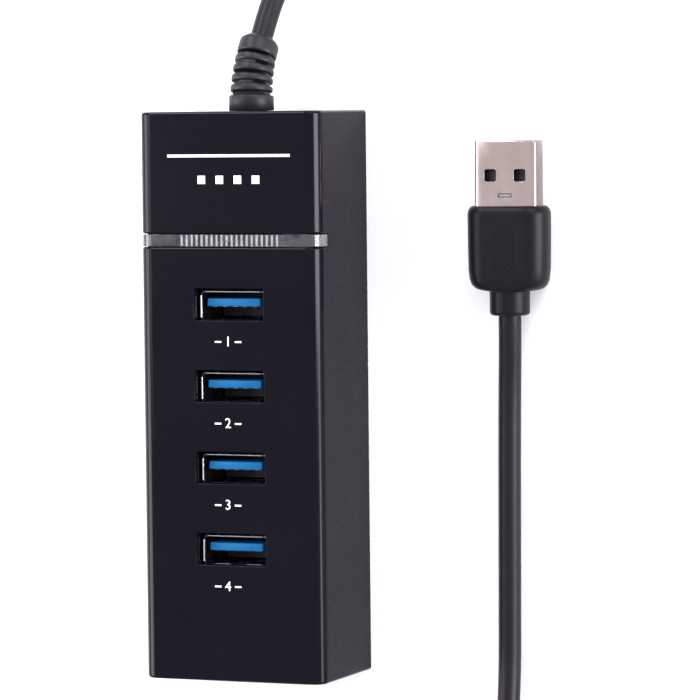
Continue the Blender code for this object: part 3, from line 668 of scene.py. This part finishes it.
def boot_frame(distance):
    """Where the boot's middle line is, and its direction, at a distance along +Y."""
    line = smooth_line([Vector(p) * MM for p in BOOT_LINE], 0.5 * MM)
    travelled = line[0].y
    if distance <= travelled:
        return Vector((0, distance, CORD_AXIS_HEIGHT)), Vector((0, 1, 0))
    for start, end in zip(line, line[1:]):
        span = (end - start).length
        if distance <= travelled + span:
            return start.lerp(end, (distance - travelled) / span), (end - start).normalized()
        travelled += span
    return line[-1], (line[-1] - line[-2]).normalized()


def boot_axes(distance):
    centre, along = boot_frame(distance)
    side = along.cross(Vector((0, 0, 1))).normalized()
    return centre, along, side, side.cross(along)


def boot_ring(distance, radius, sides=48):
    centre, _, side, up = boot_axes(distance)
    turns = [math.tau * k / sides for k in range(sides)]
    return [centre + radius * (math.cos(t) * side + math.sin(t) * up) for t in turns]


def boot_profile():
    """Distances along the boot, with the radius at each, from its flange to its mouth."""
    wall_out, wall_in = HALF_Y, HALF_Y - WALL
    collar, neck = BOOT_COLLAR_RADIUS, BOOT_NECK_RADIUS
    profile = [
        (wall_in - GAP - BOOT_FLANGE_THICKNESS, collar),
        (wall_in - GAP, collar),
        (wall_in - GAP, neck),
        (wall_out + 0.05 * MM, neck),
        (wall_out + 0.05 * MM, collar - 0.15 * MM),
        (wall_out + 0.25 * MM, collar),
        (BOOT_COLLAR_END - 0.3 * MM, collar - 0.04 * MM),
        (BOOT_COLLAR_END - 0.08 * MM, collar - 0.12 * MM),
        (BOOT_COLLAR_END, collar - 0.4 * MM),
    ]
    for ring in range(BOOT_RING_COUNT):
        crest = BOOT_CREST_RADIUS - ring * BOOT_CREST_TAPER
        start = BOOT_COLLAR_END + ring * BOOT_RING_PITCH
        profile += [(start + along * MM, crest - drop * MM) for along, drop in BOOT_RING_PROFILE]
    cap = BOOT_COLLAR_END + BOOT_RING_COUNT * BOOT_RING_PITCH
    profile = profile[:-2]  # the last ring runs on into the cap
    profile += [(cap + along * MM, radius * MM) for along, radius in BOOT_CAP_PROFILE]
    return profile


def slot_tools():
    """Deep slots between the rings: above and below, then on both sides, in turn."""
    tools = []
    for ring in range(BOOT_RING_COUNT):
        middle = BOOT_COLLAR_END + ring * BOOT_RING_PITCH + 0.3 * MM
        centre, along, side, up = boot_axes(middle)
        across, out = (side, up) if ring % 2 == 0 else (up, side)
        for sign in (-1, 1):
            place = centre + sign * out * BOOT_SLOT_OFFSET
            turn = Matrix((across, along, out)).transposed().to_4x4()
            size = Matrix.Diagonal((*BOOT_SLOT_SIZE, 1.0))
            bm = bmesh.new()
            bmesh.ops.create_cube(bm, size=1.0, matrix=Matrix.Translation(place) @ turn @ size)
            tools.append(mesh_from(bm, "boot_slot"))
    return tools


def make_boot(paint):
    rings = [boot_ring(distance, radius) for distance, radius in boot_profile()]
    boot = add_object("strain_relief", loft_mesh("strain_relief", rings), paint)
    carve(boot, slot_tools())
    smooth(boot, 40)
    return finished(boot, "cord_jacket", "strain_relief_boot")


# ---------------- housing


def round_edges(bm, edges, radius, segments, **more):
    bmesh.ops.bevel(
        bm, geom=edges, offset=radius, segments=segments, profile=0.5, affect="EDGES", **more
    )


def housing_block():
    """The outer block, with its long front edges rounded more than its end edges."""
    bm = bmesh.new()
    box_into(bm, (-HALF_X, -HALF_Y, 0), (HALF_X, HALF_Y, TOP))
    top_edges = [e for e in bm.edges if all(v.co.z > TOP - MM for v in e.verts)]
    along = [e for e in top_edges if e.verts[0].co.x * e.verts[1].co.x > 0]
    round_edges(bm, along, LONG_EDGE_RADIUS, 14)
    ends = [e for e in bm.edges if all(abs(v.co.y) > HALF_Y - MM for v in e.verts)]
    ends = [e for e in ends if max(v.co.z for v in e.verts) > MM]
    ends = [e for e in ends if e.verts[0].co.y * e.verts[1].co.y > 0]
    round_edges(bm, ends, END_EDGE_RADIUS, 6)
    return mesh_from(bm, "hub_housing")


def window_tool(number):
    """A port window: straight below, and flared a little where it meets the face."""
    heights = [
        (TOP + 0.5 * MM, 0.14 * MM),
        (TOP, 0.12 * MM),
        (TOP - 0.05 * MM, 0.04 * MM),
        (TOP - 0.14 * MM, 0.0),
        (TOP - FRONT_WALL - MM, 0.0),
    ]
    y = port_y(number)
    rings = []
    for z, grow in heights:
        width, depth = WINDOW_WIDTH + 2 * grow, WINDOW_DEPTH + 2 * grow
        rings.append(flat_ring(width, depth, WINDOW_CORNER + grow, 4, 0, y, z))
    return loft_mesh("window", rings)


def on_outer_skin(point):
    """Whether a point of the slot's edge lies on the housing's outer surface."""
    if abs(point.x) > HALF_X - ON_SURFACE or point.z > TOP - ON_SURFACE:
        return True
    corner = Vector((HALF_X, TOP))
    off = Vector((abs(point.x), point.z)) - corner + Vector((1, 1)) * LONG_EDGE_RADIUS
    return min(off) > 0 and abs(off.length - LONG_EDGE_RADIUS) < 0.04 * MM


def make_housing(paint):
    housing = add_object("hub_housing", housing_block(), paint)
    ceiling = TOP - FRONT_WALL
    guide_y = (GUIDE_LOW.y + GUIDE_HIGH.y) / 2
    slot_half = (GUIDE_HIGH.y - GUIDE_LOW.y) / 2 + GUIDE_CLEARANCE
    slot_low = (-HALF_X - MM, guide_y - slot_half, GUIDE_FOOT - GUIDE_CLEARANCE)
    slot_high = (HALF_X + MM, guide_y + slot_half, TOP + MM)
    inner_low = (WALL - HALF_X, WALL - HALF_Y, -MM)
    inner_high = (HALF_X - WALL, HALF_Y - WALL, ceiling)
    tools = [box_mesh("inner", inner_low, inner_high)]
    tools += [window_tool(number) for number in PORTS]
    tools.append(box_mesh("guide_slot", slot_low, slot_high))
    hole = bmesh.new()
    hole_place = Matrix.Translation((0, HALF_Y, CORD_AXIS_HEIGHT))
    bmesh.ops.create_cone(
        hole,
        cap_ends=True,
        segments=48,
        radius1=BOOT_NECK_RADIUS + BOOT_HOLE_CLEARANCE,
        radius2=BOOT_NECK_RADIUS + BOOT_HOLE_CLEARANCE,
        depth=4 * WALL,
        matrix=hole_place @ Matrix.Rotation(math.pi / 2, 4, "X"),
    )
    tools.append(mesh_from(hole, "boot_hole"))
    carve(housing, tools)
    round_slot_rims(housing, guide_y, slot_half)
    housing.data.materials.append(PAINT["satin"])
    for face in housing.data.polygons:
        on_side = abs(face.center.x) > HALF_X - NEAR
        on_end = abs(face.center.y) > HALF_Y - NEAR
        face.material_index = 1 if on_side or on_end else 0
    smooth(housing, 50)
    weighted(housing)
    return finished(housing, "gloss_housing", "front_housing")


def round_slot_rims(housing, guide_y, slot_half):
    """Rounds the panel edges on both sides of the light guide."""
    bm = bmesh.new()
    bm.from_mesh(housing.data)
    bmesh.ops.remove_doubles(bm, verts=bm.verts, dist=ON_SURFACE)

    def on_rim(vert):
        side = abs(abs(vert.co.y - guide_y) - slot_half) < NEAR
        return side and on_outer_skin(vert.co)

    rim = [
        e
        for e in bm.edges
        if all(on_rim(v) for v in e.verts)
        and abs(e.verts[0].co.y - e.verts[1].co.y) < NEAR
        and len(e.link_faces) == 2
    ]
    round_edges(bm, rim, RIM_RADIUS, 4, clamp_overlap=True)
    bm.to_mesh(housing.data)
    bm.free()


# ---------------- light guide


def guide_outline():
    """The bar's outer line in X and Z, from its right foot over the ribs to its left foot."""
    radius = LONG_EDGE_RADIUS - GUIDE_INSET
    centre = Vector((HALF_X - LONG_EDGE_RADIUS, TOP - LONG_EDGE_RADIUS))
    points = [Vector((HALF_X - GUIDE_INSET, GUIDE_FOOT))]
    points += arc(centre, radius, 0)
    crest = TOP - GUIDE_INSET
    for rib in reversed(range(RIB_COUNT)):
        middle = RIB_FIRST_X + rib * RIB_PITCH
        for share, drop in RIB_PROFILE:
            points.append(Vector((middle + share * RIB_PITCH, crest - drop * MM)))
    points += arc(Vector((-centre.x, centre.y)), radius, 90)
    points.append(Vector((GUIDE_INSET - HALF_X, GUIDE_FOOT)))
    return points


def make_guide(paint):
    inner_x, inner_z, stem = HALF_X - WALL, TOP - FRONT_WALL, GUIDE_STEM_HALF
    inner = [
        (-inner_x, GUIDE_FOOT), (-inner_x, inner_z),
        (-stem, inner_z), (-stem, GUIDE_LOW.z), (stem, GUIDE_LOW.z), (stem, inner_z),
        (inner_x, inner_z), (inner_x, GUIDE_FOOT),
    ]
    outline = guide_outline() + [Vector(p) for p in inner]
    rings = [[Vector((p.x, y, p.y)) for p in outline] for y in (GUIDE_LOW.y, GUIDE_HIGH.y)]
    guide = add_object("light_guide", loft_mesh("light_guide", rings), paint, PAINT["frosted"])
    for face in guide.data.polygons:
        at_end = abs(face.center.x) > HALF_X - GUIDE_END_DEPTH
        face.material_index = 1 if at_end and abs(face.normal.x) > FACES_ASIDE else 0
    bevelled(guide, 0.1 * MM, 2, 70)
    smooth(guide, 12)
    return finished(guide, "light_guide", "light_guide_bar")


# ---------------- ports


def darken_inside(piece, paint, middle, reach):
    """The faces within reach of the middle, on every axis, get the second paint: a darker copy,
    painted shade inside the shell.
    """
    piece.data.materials.append(paint)
    for face in piece.data.polygons:
        off = face.center - middle
        if all(abs(off[k]) < reach[k] for k in range(3)):
            face.material_index = 1


def finger_places(width):
    """The four spring fingers of a port: on which long wall, and where in X."""
    return [(wall, side * width * FINGER_SPOT) for wall in (-1, 1) for side in (-1, 1)]


def finger_tools(width, middle_y, half_depth, top):
    """The cuts round the spring fingers: on both sides and at the tip."""
    tools = []
    tip = top - FINGER_DROP
    root = tip - FINGER_LENGTH
    near, far = FINGER_WIDTH / 2, FINGER_WIDTH / 2 + FINGER_GAP
    for wall, x in finger_places(width):
        y = middle_y + wall * half_depth
        for low_x, high_x, low_z, high_z in (
            (x - far, x - near, root, tip),
            (x + near, x + far, root, tip),
            (x - far, x + far, tip, tip + FINGER_GAP),
        ):
            tools.append(box_mesh("gap", (low_x, y - MM, low_z), (high_x, y + MM, high_z)))
    return tools


def lip_tools(half_x, half_y, middle_y, top):
    """Notches in the corners of the mouth, which leave a lip on each of its four sides."""
    tools = []
    for side_x in (-1, 1):
        for side_y in (-1, 1):
            spans_x = sorted((side_x * (half_x - LIP_NOTCH_X), side_x * (half_x + MM)))
            spans_y = sorted((side_y * (half_y - LIP_NOTCH_Y), side_y * (half_y + MM)))
            low = (spans_x[0], middle_y + spans_y[0], top - LIP_DROP)
            high = (spans_x[1], middle_y + spans_y[1], top + MM)
            tools.append(box_mesh("notch", low, high))
    return tools


def make_port(number, shell_paint, blue_paint, gold_paint):
    low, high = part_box(f"port_{number}_shell")
    width, depth = high.x - low.x, high.y - low.y
    middle_y = (low.y + high.y) / 2
    rings = []
    for inset_x, inset_y, z, radius in (
        (0.0, 0.0, low.z, 0.7),
        (0.0, 0.0, high.z - 0.10 * MM, 0.7),
        (0.03 * MM, 0.03 * MM, high.z - 0.03 * MM, 0.66),
        (0.10 * MM, 0.10 * MM, high.z, 0.6),
        (0.16 * MM, 0.18 * MM, high.z - 0.02 * MM, 0.54),
        (SHEET, SHEET, high.z - 0.16 * MM, 0.42),
        (SHEET, SHEET, low.z, 0.42),
    ):
        size = (width - 2 * inset_x, depth - 2 * inset_y)
        rings.append(flat_ring(*size, radius * MM, 5, 0, middle_y, z))
    mesh = loft_mesh("port_metal", rings, closed=True)
    shell = add_object(f"port_{number}_metal", mesh, shell_paint)
    tools = finger_tools(width, middle_y, depth / 2, high.z)
    tools += lip_tools(width / 2, depth / 2, middle_y, high.z)
    carve(shell, tools)
    middle = Vector((0, middle_y, (low.z + high.z) / 2))
    half_height = (high.z - low.z) / 2
    # Painted shade: the inside of the shell and the floors of the notches in its mouth take the
    # dark copy of the tin.
    reach = Vector((width / 2 - LINING, depth / 2 - LINING, half_height - LINING_SETBACK))
    darken_inside(shell, PAINT["tin_painted_shade"], middle, reach)
    for face in shell.data.polygons:
        if face.normal.z > 0.9 and abs(face.center.z - high.z + LIP_DROP) < 0.02 * MM:
            face.material_index = 1
    smooth(shell, 40)
    finished(shell, "nickel_shell", f"port_{number}_shell")
    make_fingers(number, width, middle_y, depth / 2, high.z, shell_paint)
    make_tongue(number, blue_paint, PAINT["painted_shade_black"])
    make_contacts(number, gold_paint)


def make_fingers(number, width, middle_y, half_depth, top, paint):
    """The spring fingers, bowed into the mouth."""
    bm = bmesh.new()
    long, half = FINGER_LENGTH - FINGER_TRIM, (FINGER_WIDTH - FINGER_TRIM) / 2
    root = top - FINGER_DROP - FINGER_TRIM - long
    for wall, x in finger_places(width):
        rings = []
        for k in range(FINGER_STEPS + 1):
            share = k / FINGER_STEPS
            bow = FINGER_BOW * math.sin(math.pi * min(1.0, share * 1.1))
            y = middle_y + wall * (half_depth - 0.05 * MM - bow)
            back = y - wall * FINGER_THICKNESS
            z = root + share * long
            left, right = x - half, x + half
            rings.append([(left, y, z), (right, y, z), (right, back, z), (left, back, z)])
        loft_into(bm, rings)
    fingers = add_object(f"port_{number}_fingers", mesh_from(bm, "fingers"), paint)
    smooth(fingers, 50)
    finished(fingers, "nickel_shell")


def make_tongue(number, blue_paint, base_shade_paint):
    """The blue tongue on its base, which closes the back of the shell; the base is black, painted
    shade at the bottom of the port.
    """
    low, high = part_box(f"port_{number}_tongue")
    seat = low.z + SEAT_HEIGHT
    tongue_y = port_y(number) + TONGUE_OFFSET
    bm = bmesh.new()
    box_into(bm, low, (high.x, high.y, seat))
    rings = []
    for inset, z in (
        (0.0, seat - 0.1 * MM),
        (0.0, high.z - TONGUE_TIP_INSET),
        (0.06 * MM, high.z - 0.06 * MM),
        (TONGUE_TIP_INSET, high.z),
    ):
        width, thickness = TONGUE_WIDTH - 2 * inset, TONGUE_THICKNESS - 2 * inset
        rings.append(flat_ring(width, thickness, 0.2 * MM, 3, 0, tongue_y, z))
    base = add_object(f"port_{number}_base", mesh_from(bm, "port_base"), base_shade_paint)
    bevelled(base, 0.1 * MM, 2)
    finished(base, "blue_insulator")
    tongue = add_object(f"port_{number}_blade", loft_mesh("port_blade", rings), blue_paint)
    smooth(tongue, 50)
    finished(tongue, "blue_insulator", f"port_{number}_tongue")


def contacts_into(bm, row, middle_x, low, high):
    """A row of flat contacts along X, all between the same low and high (y, z)."""
    count, first_x, pitch, width = row
    for k in range(count):
        x = middle_x + first_x + k * pitch
        box_into(bm, (x - width / 2, *low), (x + width / 2, *high))


def make_contacts(number, paint):
    """Four long contacts under the tongue and five short ones at its tip."""
    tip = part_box(f"port_{number}_tongue")[1].z
    face = port_y(number) + TONGUE_OFFSET - TONGUE_THICKNESS / 2
    under, over = face - 0.06 * MM, face + 0.02 * MM
    bm = bmesh.new()
    contacts_into(bm, LONG_CONTACTS, 0, (under, tip - 8.5 * MM), (over, tip - 3.2 * MM))
    contacts_into(bm, SHORT_CONTACTS, 0, (under, tip - 2.6 * MM), (over, tip - 0.5 * MM))
    contacts = add_object(f"port_{number}_contacts", mesh_from(bm, "contacts"), paint)
    bevelled(contacts, 0.02 * MM, 1)
    finished(contacts, "screw_steel")


# ---------------- printed marks


def make_numerals(paint):
    """The port numbers, printed under each window, between two short rules."""
    for number in PORTS:
        label_x, label_y = label_place(number)
        text = bpy.data.curves.new(f"port_number_{number}", "FONT")
        text.body = str(number)
        text.size = NUMERAL_SIZE
        text.align_x = "CENTER"
        text.align_y = "CENTER"
        text.extrude = PRINT_THICKNESS
        maker = add_object("text_maker", text)
        maker.location = (label_x, label_y, TOP)
        mesh = evaluated_mesh(maker)
        mesh.transform(maker.matrix_world)
        bpy.data.objects.remove(maker)
        numeral = add_object(f"port_number_{number}", mesh, paint)
        finished(numeral, "light_guide")


def label_place(number):
    """The middle of a port's printed number: a little further left under each next port."""
    return LABEL_X + (number - 1) * LABEL_SHIFT, port_y(number) - LABEL_DROP


def print_box_into(bm, centre_x, centre_y, width, height):
    low = (centre_x - width / 2, centre_y - height / 2, TOP - PRINT_THICKNESS)
    high = (centre_x + width / 2, centre_y + height / 2, TOP + PRINT_THICKNESS)
    box_into(bm, low, high)


def make_printed_rules(paint):
    """In place of a title: a rule, and a row of four small squares for the four ports."""
    bm = bmesh.new()
    print_box_into(bm, TITLE_X, TITLE_RULE_Y, *TITLE_RULE)
    for k in range(len(PORTS)):
        x = TITLE_X + (k - 1.5) * SQUARE_PITCH
        print_box_into(bm, x, SQUARES_Y, SQUARE_SIZE, SQUARE_SIZE)
    for number in PORTS:
        label_x, label_y = label_place(number)
        for side in (-1, 1):
            print_box_into(bm, label_x + side * LABEL_RULE_OFFSET, label_y, *LABEL_RULE)
    marks = add_object("printed_rules", mesh_from(bm, "printed_rules"), paint)
    finished(marks, "light_guide")


# ---------------- plug


def plug_ring(width, thickness, radius, y, steps):
    """A rounded rectangle across the plug, at a place along Y."""
    radius = min(radius, width / 2 - NEAR, thickness / 2 - NEAR)
    outline = rounded_outline(width, thickness, radius, steps)
    return [Vector((PLUG_X + p.x, y, PLUG_MIDDLE_Z + p.y)) for p in outline]


def make_grip(paint):
    """The overmold: a round collar that swells into a flat grip, with a socket for the shell."""
    start, end = PLUG_BACK_Y + COLLAR_LENGTH, GRIP_HIGH.y
    wide, thick = GRIP_HIGH.x - GRIP_LOW.x, GRIP_HIGH.z - GRIP_LOW.z
    collar = 2 * COLLAR_RADIUS
    sections = []
    for along, less in COLLAR_PROFILE:
        size = collar - less * MM
        sections.append((PLUG_BACK_Y + along * MM, size, size))
    sections += [
        (start - 0.35 * MM, collar, collar),
        (start - 0.05 * MM, collar + 0.15 * MM, collar + 0.05 * MM),
        (start + 0.05 * MM, wide * 0.60, collar + 0.12 * MM),
        (start + 0.18 * MM, wide * 0.72, collar + 0.2 * MM),
    ]
    for edge, profile in ((start, SHOULDER_PROFILE), (end, GRIP_END_PROFILE)):
        sections += [(edge + along * MM, wide * w, thick * t) for along, w, t in profile]
    rings = [plug_ring(width, height, GRIP_CORNER, y, 10) for y, width, height in sections]
    socket = (PLUG_WIDTH + SOCKET_ROOM, PLUG_THICKNESS + SOCKET_ROOM, SOCKET_CORNER)
    rings += [plug_ring(*socket, y, 10) for y in (end, end - SOCKET_DEPTH)]
    grip = add_object("plug_grip", loft_mesh("plug_grip", rings), paint)
    smooth(grip, 50)
    weighted(grip)
    return finished(grip, "plug_grip", "plug_overmold")


def make_grip_mark(paint):
    """A plain raised oval outline on the grip, in place of a moulded mark."""
    middle_y = (PLUG_BACK_Y + COLLAR_LENGTH + GRIP_HIGH.y) / 2
    top = GRIP_HIGH.z
    rings = []
    for size_x, size_y, z in (
        (4.4, 9.0, top - 0.2 * MM),
        (4.2, 8.8, top + 0.12 * MM),
        (3.2, 7.8, top + 0.12 * MM),
        (3.0, 7.6, top - 0.2 * MM),
    ):
        corner = size_x / 2 * 0.999 * MM
        rings.append(flat_ring(size_x * MM, size_y * MM, corner, 8, PLUG_X, middle_y, z))
    mark = add_object("grip_mark", loft_mesh("grip_mark", rings, closed=True), paint)
    smooth(mark, 60)
    return finished(mark, "plug_grip")


def latch_tool(x, y, z):
    """One of the two square holes that a receptacle's fingers snap into."""
    size = (LATCH_HOLE, LATCH_HOLE, LATCH_CORNER)
    rings = [flat_ring(*size, 5, x, y, z + dz) for dz in (-2 * SHEET, 2 * SHEET)]
    return loft_mesh("hole", rings)


def groove_tool(x, y, z):
    """The pressed outline of a small tab: a groove round an oval, cut into the sheet."""
    rings = []
    for size, dz in (
        (TAB_GROOVE_OUTER, 0.1 * MM),
        (TAB_GROOVE_INNER, 0.1 * MM),
        (TAB_GROOVE_INNER, -TAB_GROOVE_DEPTH),
        (TAB_GROOVE_OUTER, -TAB_GROOVE_DEPTH),
    ):
        rings.append(flat_ring(*size, size.y / 2 - NEAR, 6, x, y, z + dz))
    return loft_mesh("groove", rings, closed=True)


def make_plug_shell(paint):
    rear, mouth = PLUG_LOW.y, PLUG_MOUTH_Y
    rings = []
    for inset, y, radius in (
        (0.0, rear, 0.65),
        (0.0, mouth - 0.35 * MM, 0.65),
        (0.03 * MM, mouth - 0.12 * MM, 0.62),
        (0.10 * MM, mouth - 0.02 * MM, 0.56),
        (0.16 * MM, mouth, 0.5),
        (0.24 * MM, mouth - 0.03 * MM, 0.43),
        (SHEET, mouth - 0.16 * MM, 0.37),
        (SHEET, rear, 0.37),
    ):
        width, thickness = PLUG_WIDTH - 2 * inset, PLUG_THICKNESS - 2 * inset
        rings.append(plug_ring(width, thickness, radius * MM, y, 6))
    shell = add_object("plug_metal", loft_mesh("plug_metal", rings, closed=True), paint)
    top = PLUG_HIGH.z
    tab = Vector((PLUG_X, mouth - TAB_SETBACK, top))
    tools = [latch_tool(PLUG_X + side * LATCH_X, mouth - LATCH_SETBACK, top) for side in (-1, 1)]
    tools.append(groove_tool(*tab))
    seam_low = (PLUG_X - SEAM_HALF, rear - MM, PLUG_LOW.z - MM)
    seam_high = (PLUG_X + SEAM_HALF, mouth + MM, PLUG_LOW.z + SEAM_DEPTH)
    tools.append(box_mesh("seam", seam_low, seam_high))
    carve(shell, tools)
    # Painted shade on the inside of the plug's shell.
    middle = Vector((PLUG_X, (rear + mouth) / 2, PLUG_MIDDLE_Z))
    reach = Vector((PLUG_WIDTH, mouth - rear, PLUG_THICKNESS)) / 2 - Vector((1, 1, 1)) * LINING
    darken_inside(shell, PAINT["tin_painted_shade"], middle, reach)
    # Painted shade: the faces on the shell's sides take the darker copy of the plating.
    shell.data.materials.append(PAINT["nickel_painted_shade"])
    for face in shell.data.polygons:
        off = face.center - tab
        # Painted shade in the sunk faces of the tab's groove.
        in_zone = abs(off.x) < TAB_ZONE.x and abs(off.y) < TAB_ZONE.y
        if in_zone and TAB_ZONE_Z[0] < off.z < TAB_ZONE_Z[1]:
            face.material_index = 1
        on_side = abs(face.normal.x) > FACES_ASIDE and abs(off.x) > PLUG_WIDTH / 2 - MM
        if on_side and face.material_index == 0:
            face.material_index = 2
    bevelled(shell, 0.05 * MM, 2, 50)
    smooth(shell, 45)
    return finished(shell, "nickel_shell", "plug_shell")


def make_plug_tongue(contact_paint):
    """The tongue stays the CAD solid. Its contacts and the step behind them are added, the step
    black as painted shade under the latch holes.
    """
    paint_nodes("blue", 0.12, "plug_tongue", segments=3)
    low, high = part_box("plug_tongue")
    bm = bmesh.new()
    start, end = high.y - 4.4 * MM, high.y - 0.7 * MM
    base, top = high.z - 0.02 * MM, high.z + 0.08 * MM
    contacts_into(bm, LONG_CONTACTS, PLUG_X, (start, base), (end, top))
    contacts = add_object("plug_contacts", mesh_from(bm, "plug_contacts"), contact_paint)
    bevelled(contacts, 0.03 * MM, 1)
    # A black block under the latch holes: painted shade.
    step = bmesh.new()
    side = (high.x - low.x) / 2 - 0.15 * MM
    step_low = (PLUG_X - side, high.y - 9.4 * MM, high.z - 0.05 * MM)
    step_high = (PLUG_X + side, high.y - 4.6 * MM, high.z + 0.3 * MM)
    box_into(step, step_low, step_high)
    riser = add_object("plug_contact_step", mesh_from(step, "plug_contact_step"), PAINT["painted_shade_black"])
    bevelled(riser, 0.1 * MM, 2)
    finished(riser, "blue_insulator")
    return finished(contacts, "screw_steel"), riser


# ---------------- tie and carried-over nodes


def make_tie(paint):
    """A strap wrapped round the two passes of the coil."""
    low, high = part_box("cable_tie")
    middle_y = (low.y + high.y) / 2
    middle_z = (low.z + high.z) / 2
    across, tall = high.y - low.y - 0.1 * MM, high.z - low.z - 0.1 * MM
    half = TIE_HALF_WIDTH
    rings = []
    for place, less, corner in (
        (0.1 * MM - half, 0.24 * MM, 1.8 * MM),
        (-half, 0.0, 1.8 * MM),
        (half, 0.0, 1.8 * MM),
        (half, 0.24 * MM, 1.8 * MM),
        (half, 0.8 * MM, 1.5 * MM),
        (-half, 0.8 * MM, 1.5 * MM),
    ):
        x = COIL_CENTRE.x + place
        outline = rounded_outline(across - less, tall - less, corner, 6)
        rings.append([Vector((x, middle_y + p.x, middle_z + p.y)) for p in outline])
    tie = add_object("lead_tie", loft_mesh("lead_tie", rings, closed=True), paint)
    smooth(tie, 50)
    return finished(tie, "tie_strap", "cable_tie")


def paint_nodes(paint, bevel_mm, *names, segments=2):
    for name in names:
        node = NODES[name]
        node.data.materials.clear()
        node.data.materials.append(PAINT[paint])
        if bevel_mm:
            bevelled(node, bevel_mm * MM, segments)


def paint_carried_nodes():
    """The CAD solids that stay: those inside the housing, and its back cover."""
    paint_nodes("matte", 0.2, "bottom_cover")
    paint_nodes("board", 0.05, "circuit_board")
    paint_nodes("chip", 0.08, "hub_controller_chip", "voltage_regulator")
    paint_nodes("can", 0.1, "crystal", "input_capacitor", "output_capacitor")
    paint_nodes("lamp", 0.08, "status_led_left", "status_led_right")
    paint_nodes("zinc", 0, *[f"board_screw_{k}" for k in range(1, 5)])
    paint_nodes("cord", 0, "cable_tail")
    paint_nodes("red", 0, "power_wire")
    paint_nodes("chip", 0, "ground_wire")
    paint_nodes("white", 0, "data_pair")
    paint_nodes("blue", 0, "fast_pair_a")
    paint_nodes("green", 0, "fast_pair_b")


# ---------------- floor and light


def make_floor():
    shade = Shader("floor_white", (0.9, 0.9, 0.905), 0.7, Specular_IOR_Level=0.1)
    shade.vary_roughness(shade.noise(30), 0.65, 0.8)
    bm = bmesh.new()
    bmesh.ops.create_grid(bm, x_segments=1, y_segments=1, size=4.0)
    floor = add_object("floor", mesh_from(bm, "floor"), shade.material)
    floor.location.z = -0.02 * MM


def make_softbox(name, place, width, height, power):
    data = bpy.data.lights.new(name, "AREA")
    data.shape = "RECTANGLE"
    data.size = width
    data.size_y = height
    data.energy = power
    data.color = LIGHT_COLOR
    lamp = add_object(name, data)
    turn = (Vector(LIGHT_AIM) - Vector(place)).to_track_quat("-Z", "Y")
    lamp.matrix_world = Matrix.LocRotScale(Vector(place), turn, None)


def make_light():
    world = bpy.data.worlds.new("studio")
    SCENE.world = world
    world.use_nodes = True
    sky = world.node_tree.nodes["Background"]
    sky.inputs["Color"].default_value = (*WORLD_COLOR, 1.0)
    sky.inputs["Strength"].default_value = WORLD_STRENGTH
    for softbox in SOFTBOXES:
        make_softbox(*softbox)
    SCENE.view_settings.view_transform = "Standard"


# ---------------- everything


make_camera()
LEAD = make_lead(PAINT["cord"])
BOOT = make_boot(PAINT["boot"])
make_housing(PAINT["gloss"])
make_guide(PAINT["clear"])
for PORT in PORTS:
    make_port(PORT, PAINT["tin"], PAINT["blue"], PAINT["gold"])
make_numerals(PAINT["print"])
make_printed_rules(PAINT["print"])
GRIP = make_grip(PAINT["grip"])
GRIP_MARK = make_grip_mark(PAINT["grip"])
PLUG_METAL = make_plug_shell(PAINT["nickel"])
PLUG_CONTACTS, PLUG_STEP = make_plug_tongue(PAINT["gold"])
TIE = make_tie(PAINT["matte"])
paint_carried_nodes()
make_floor()
make_light()
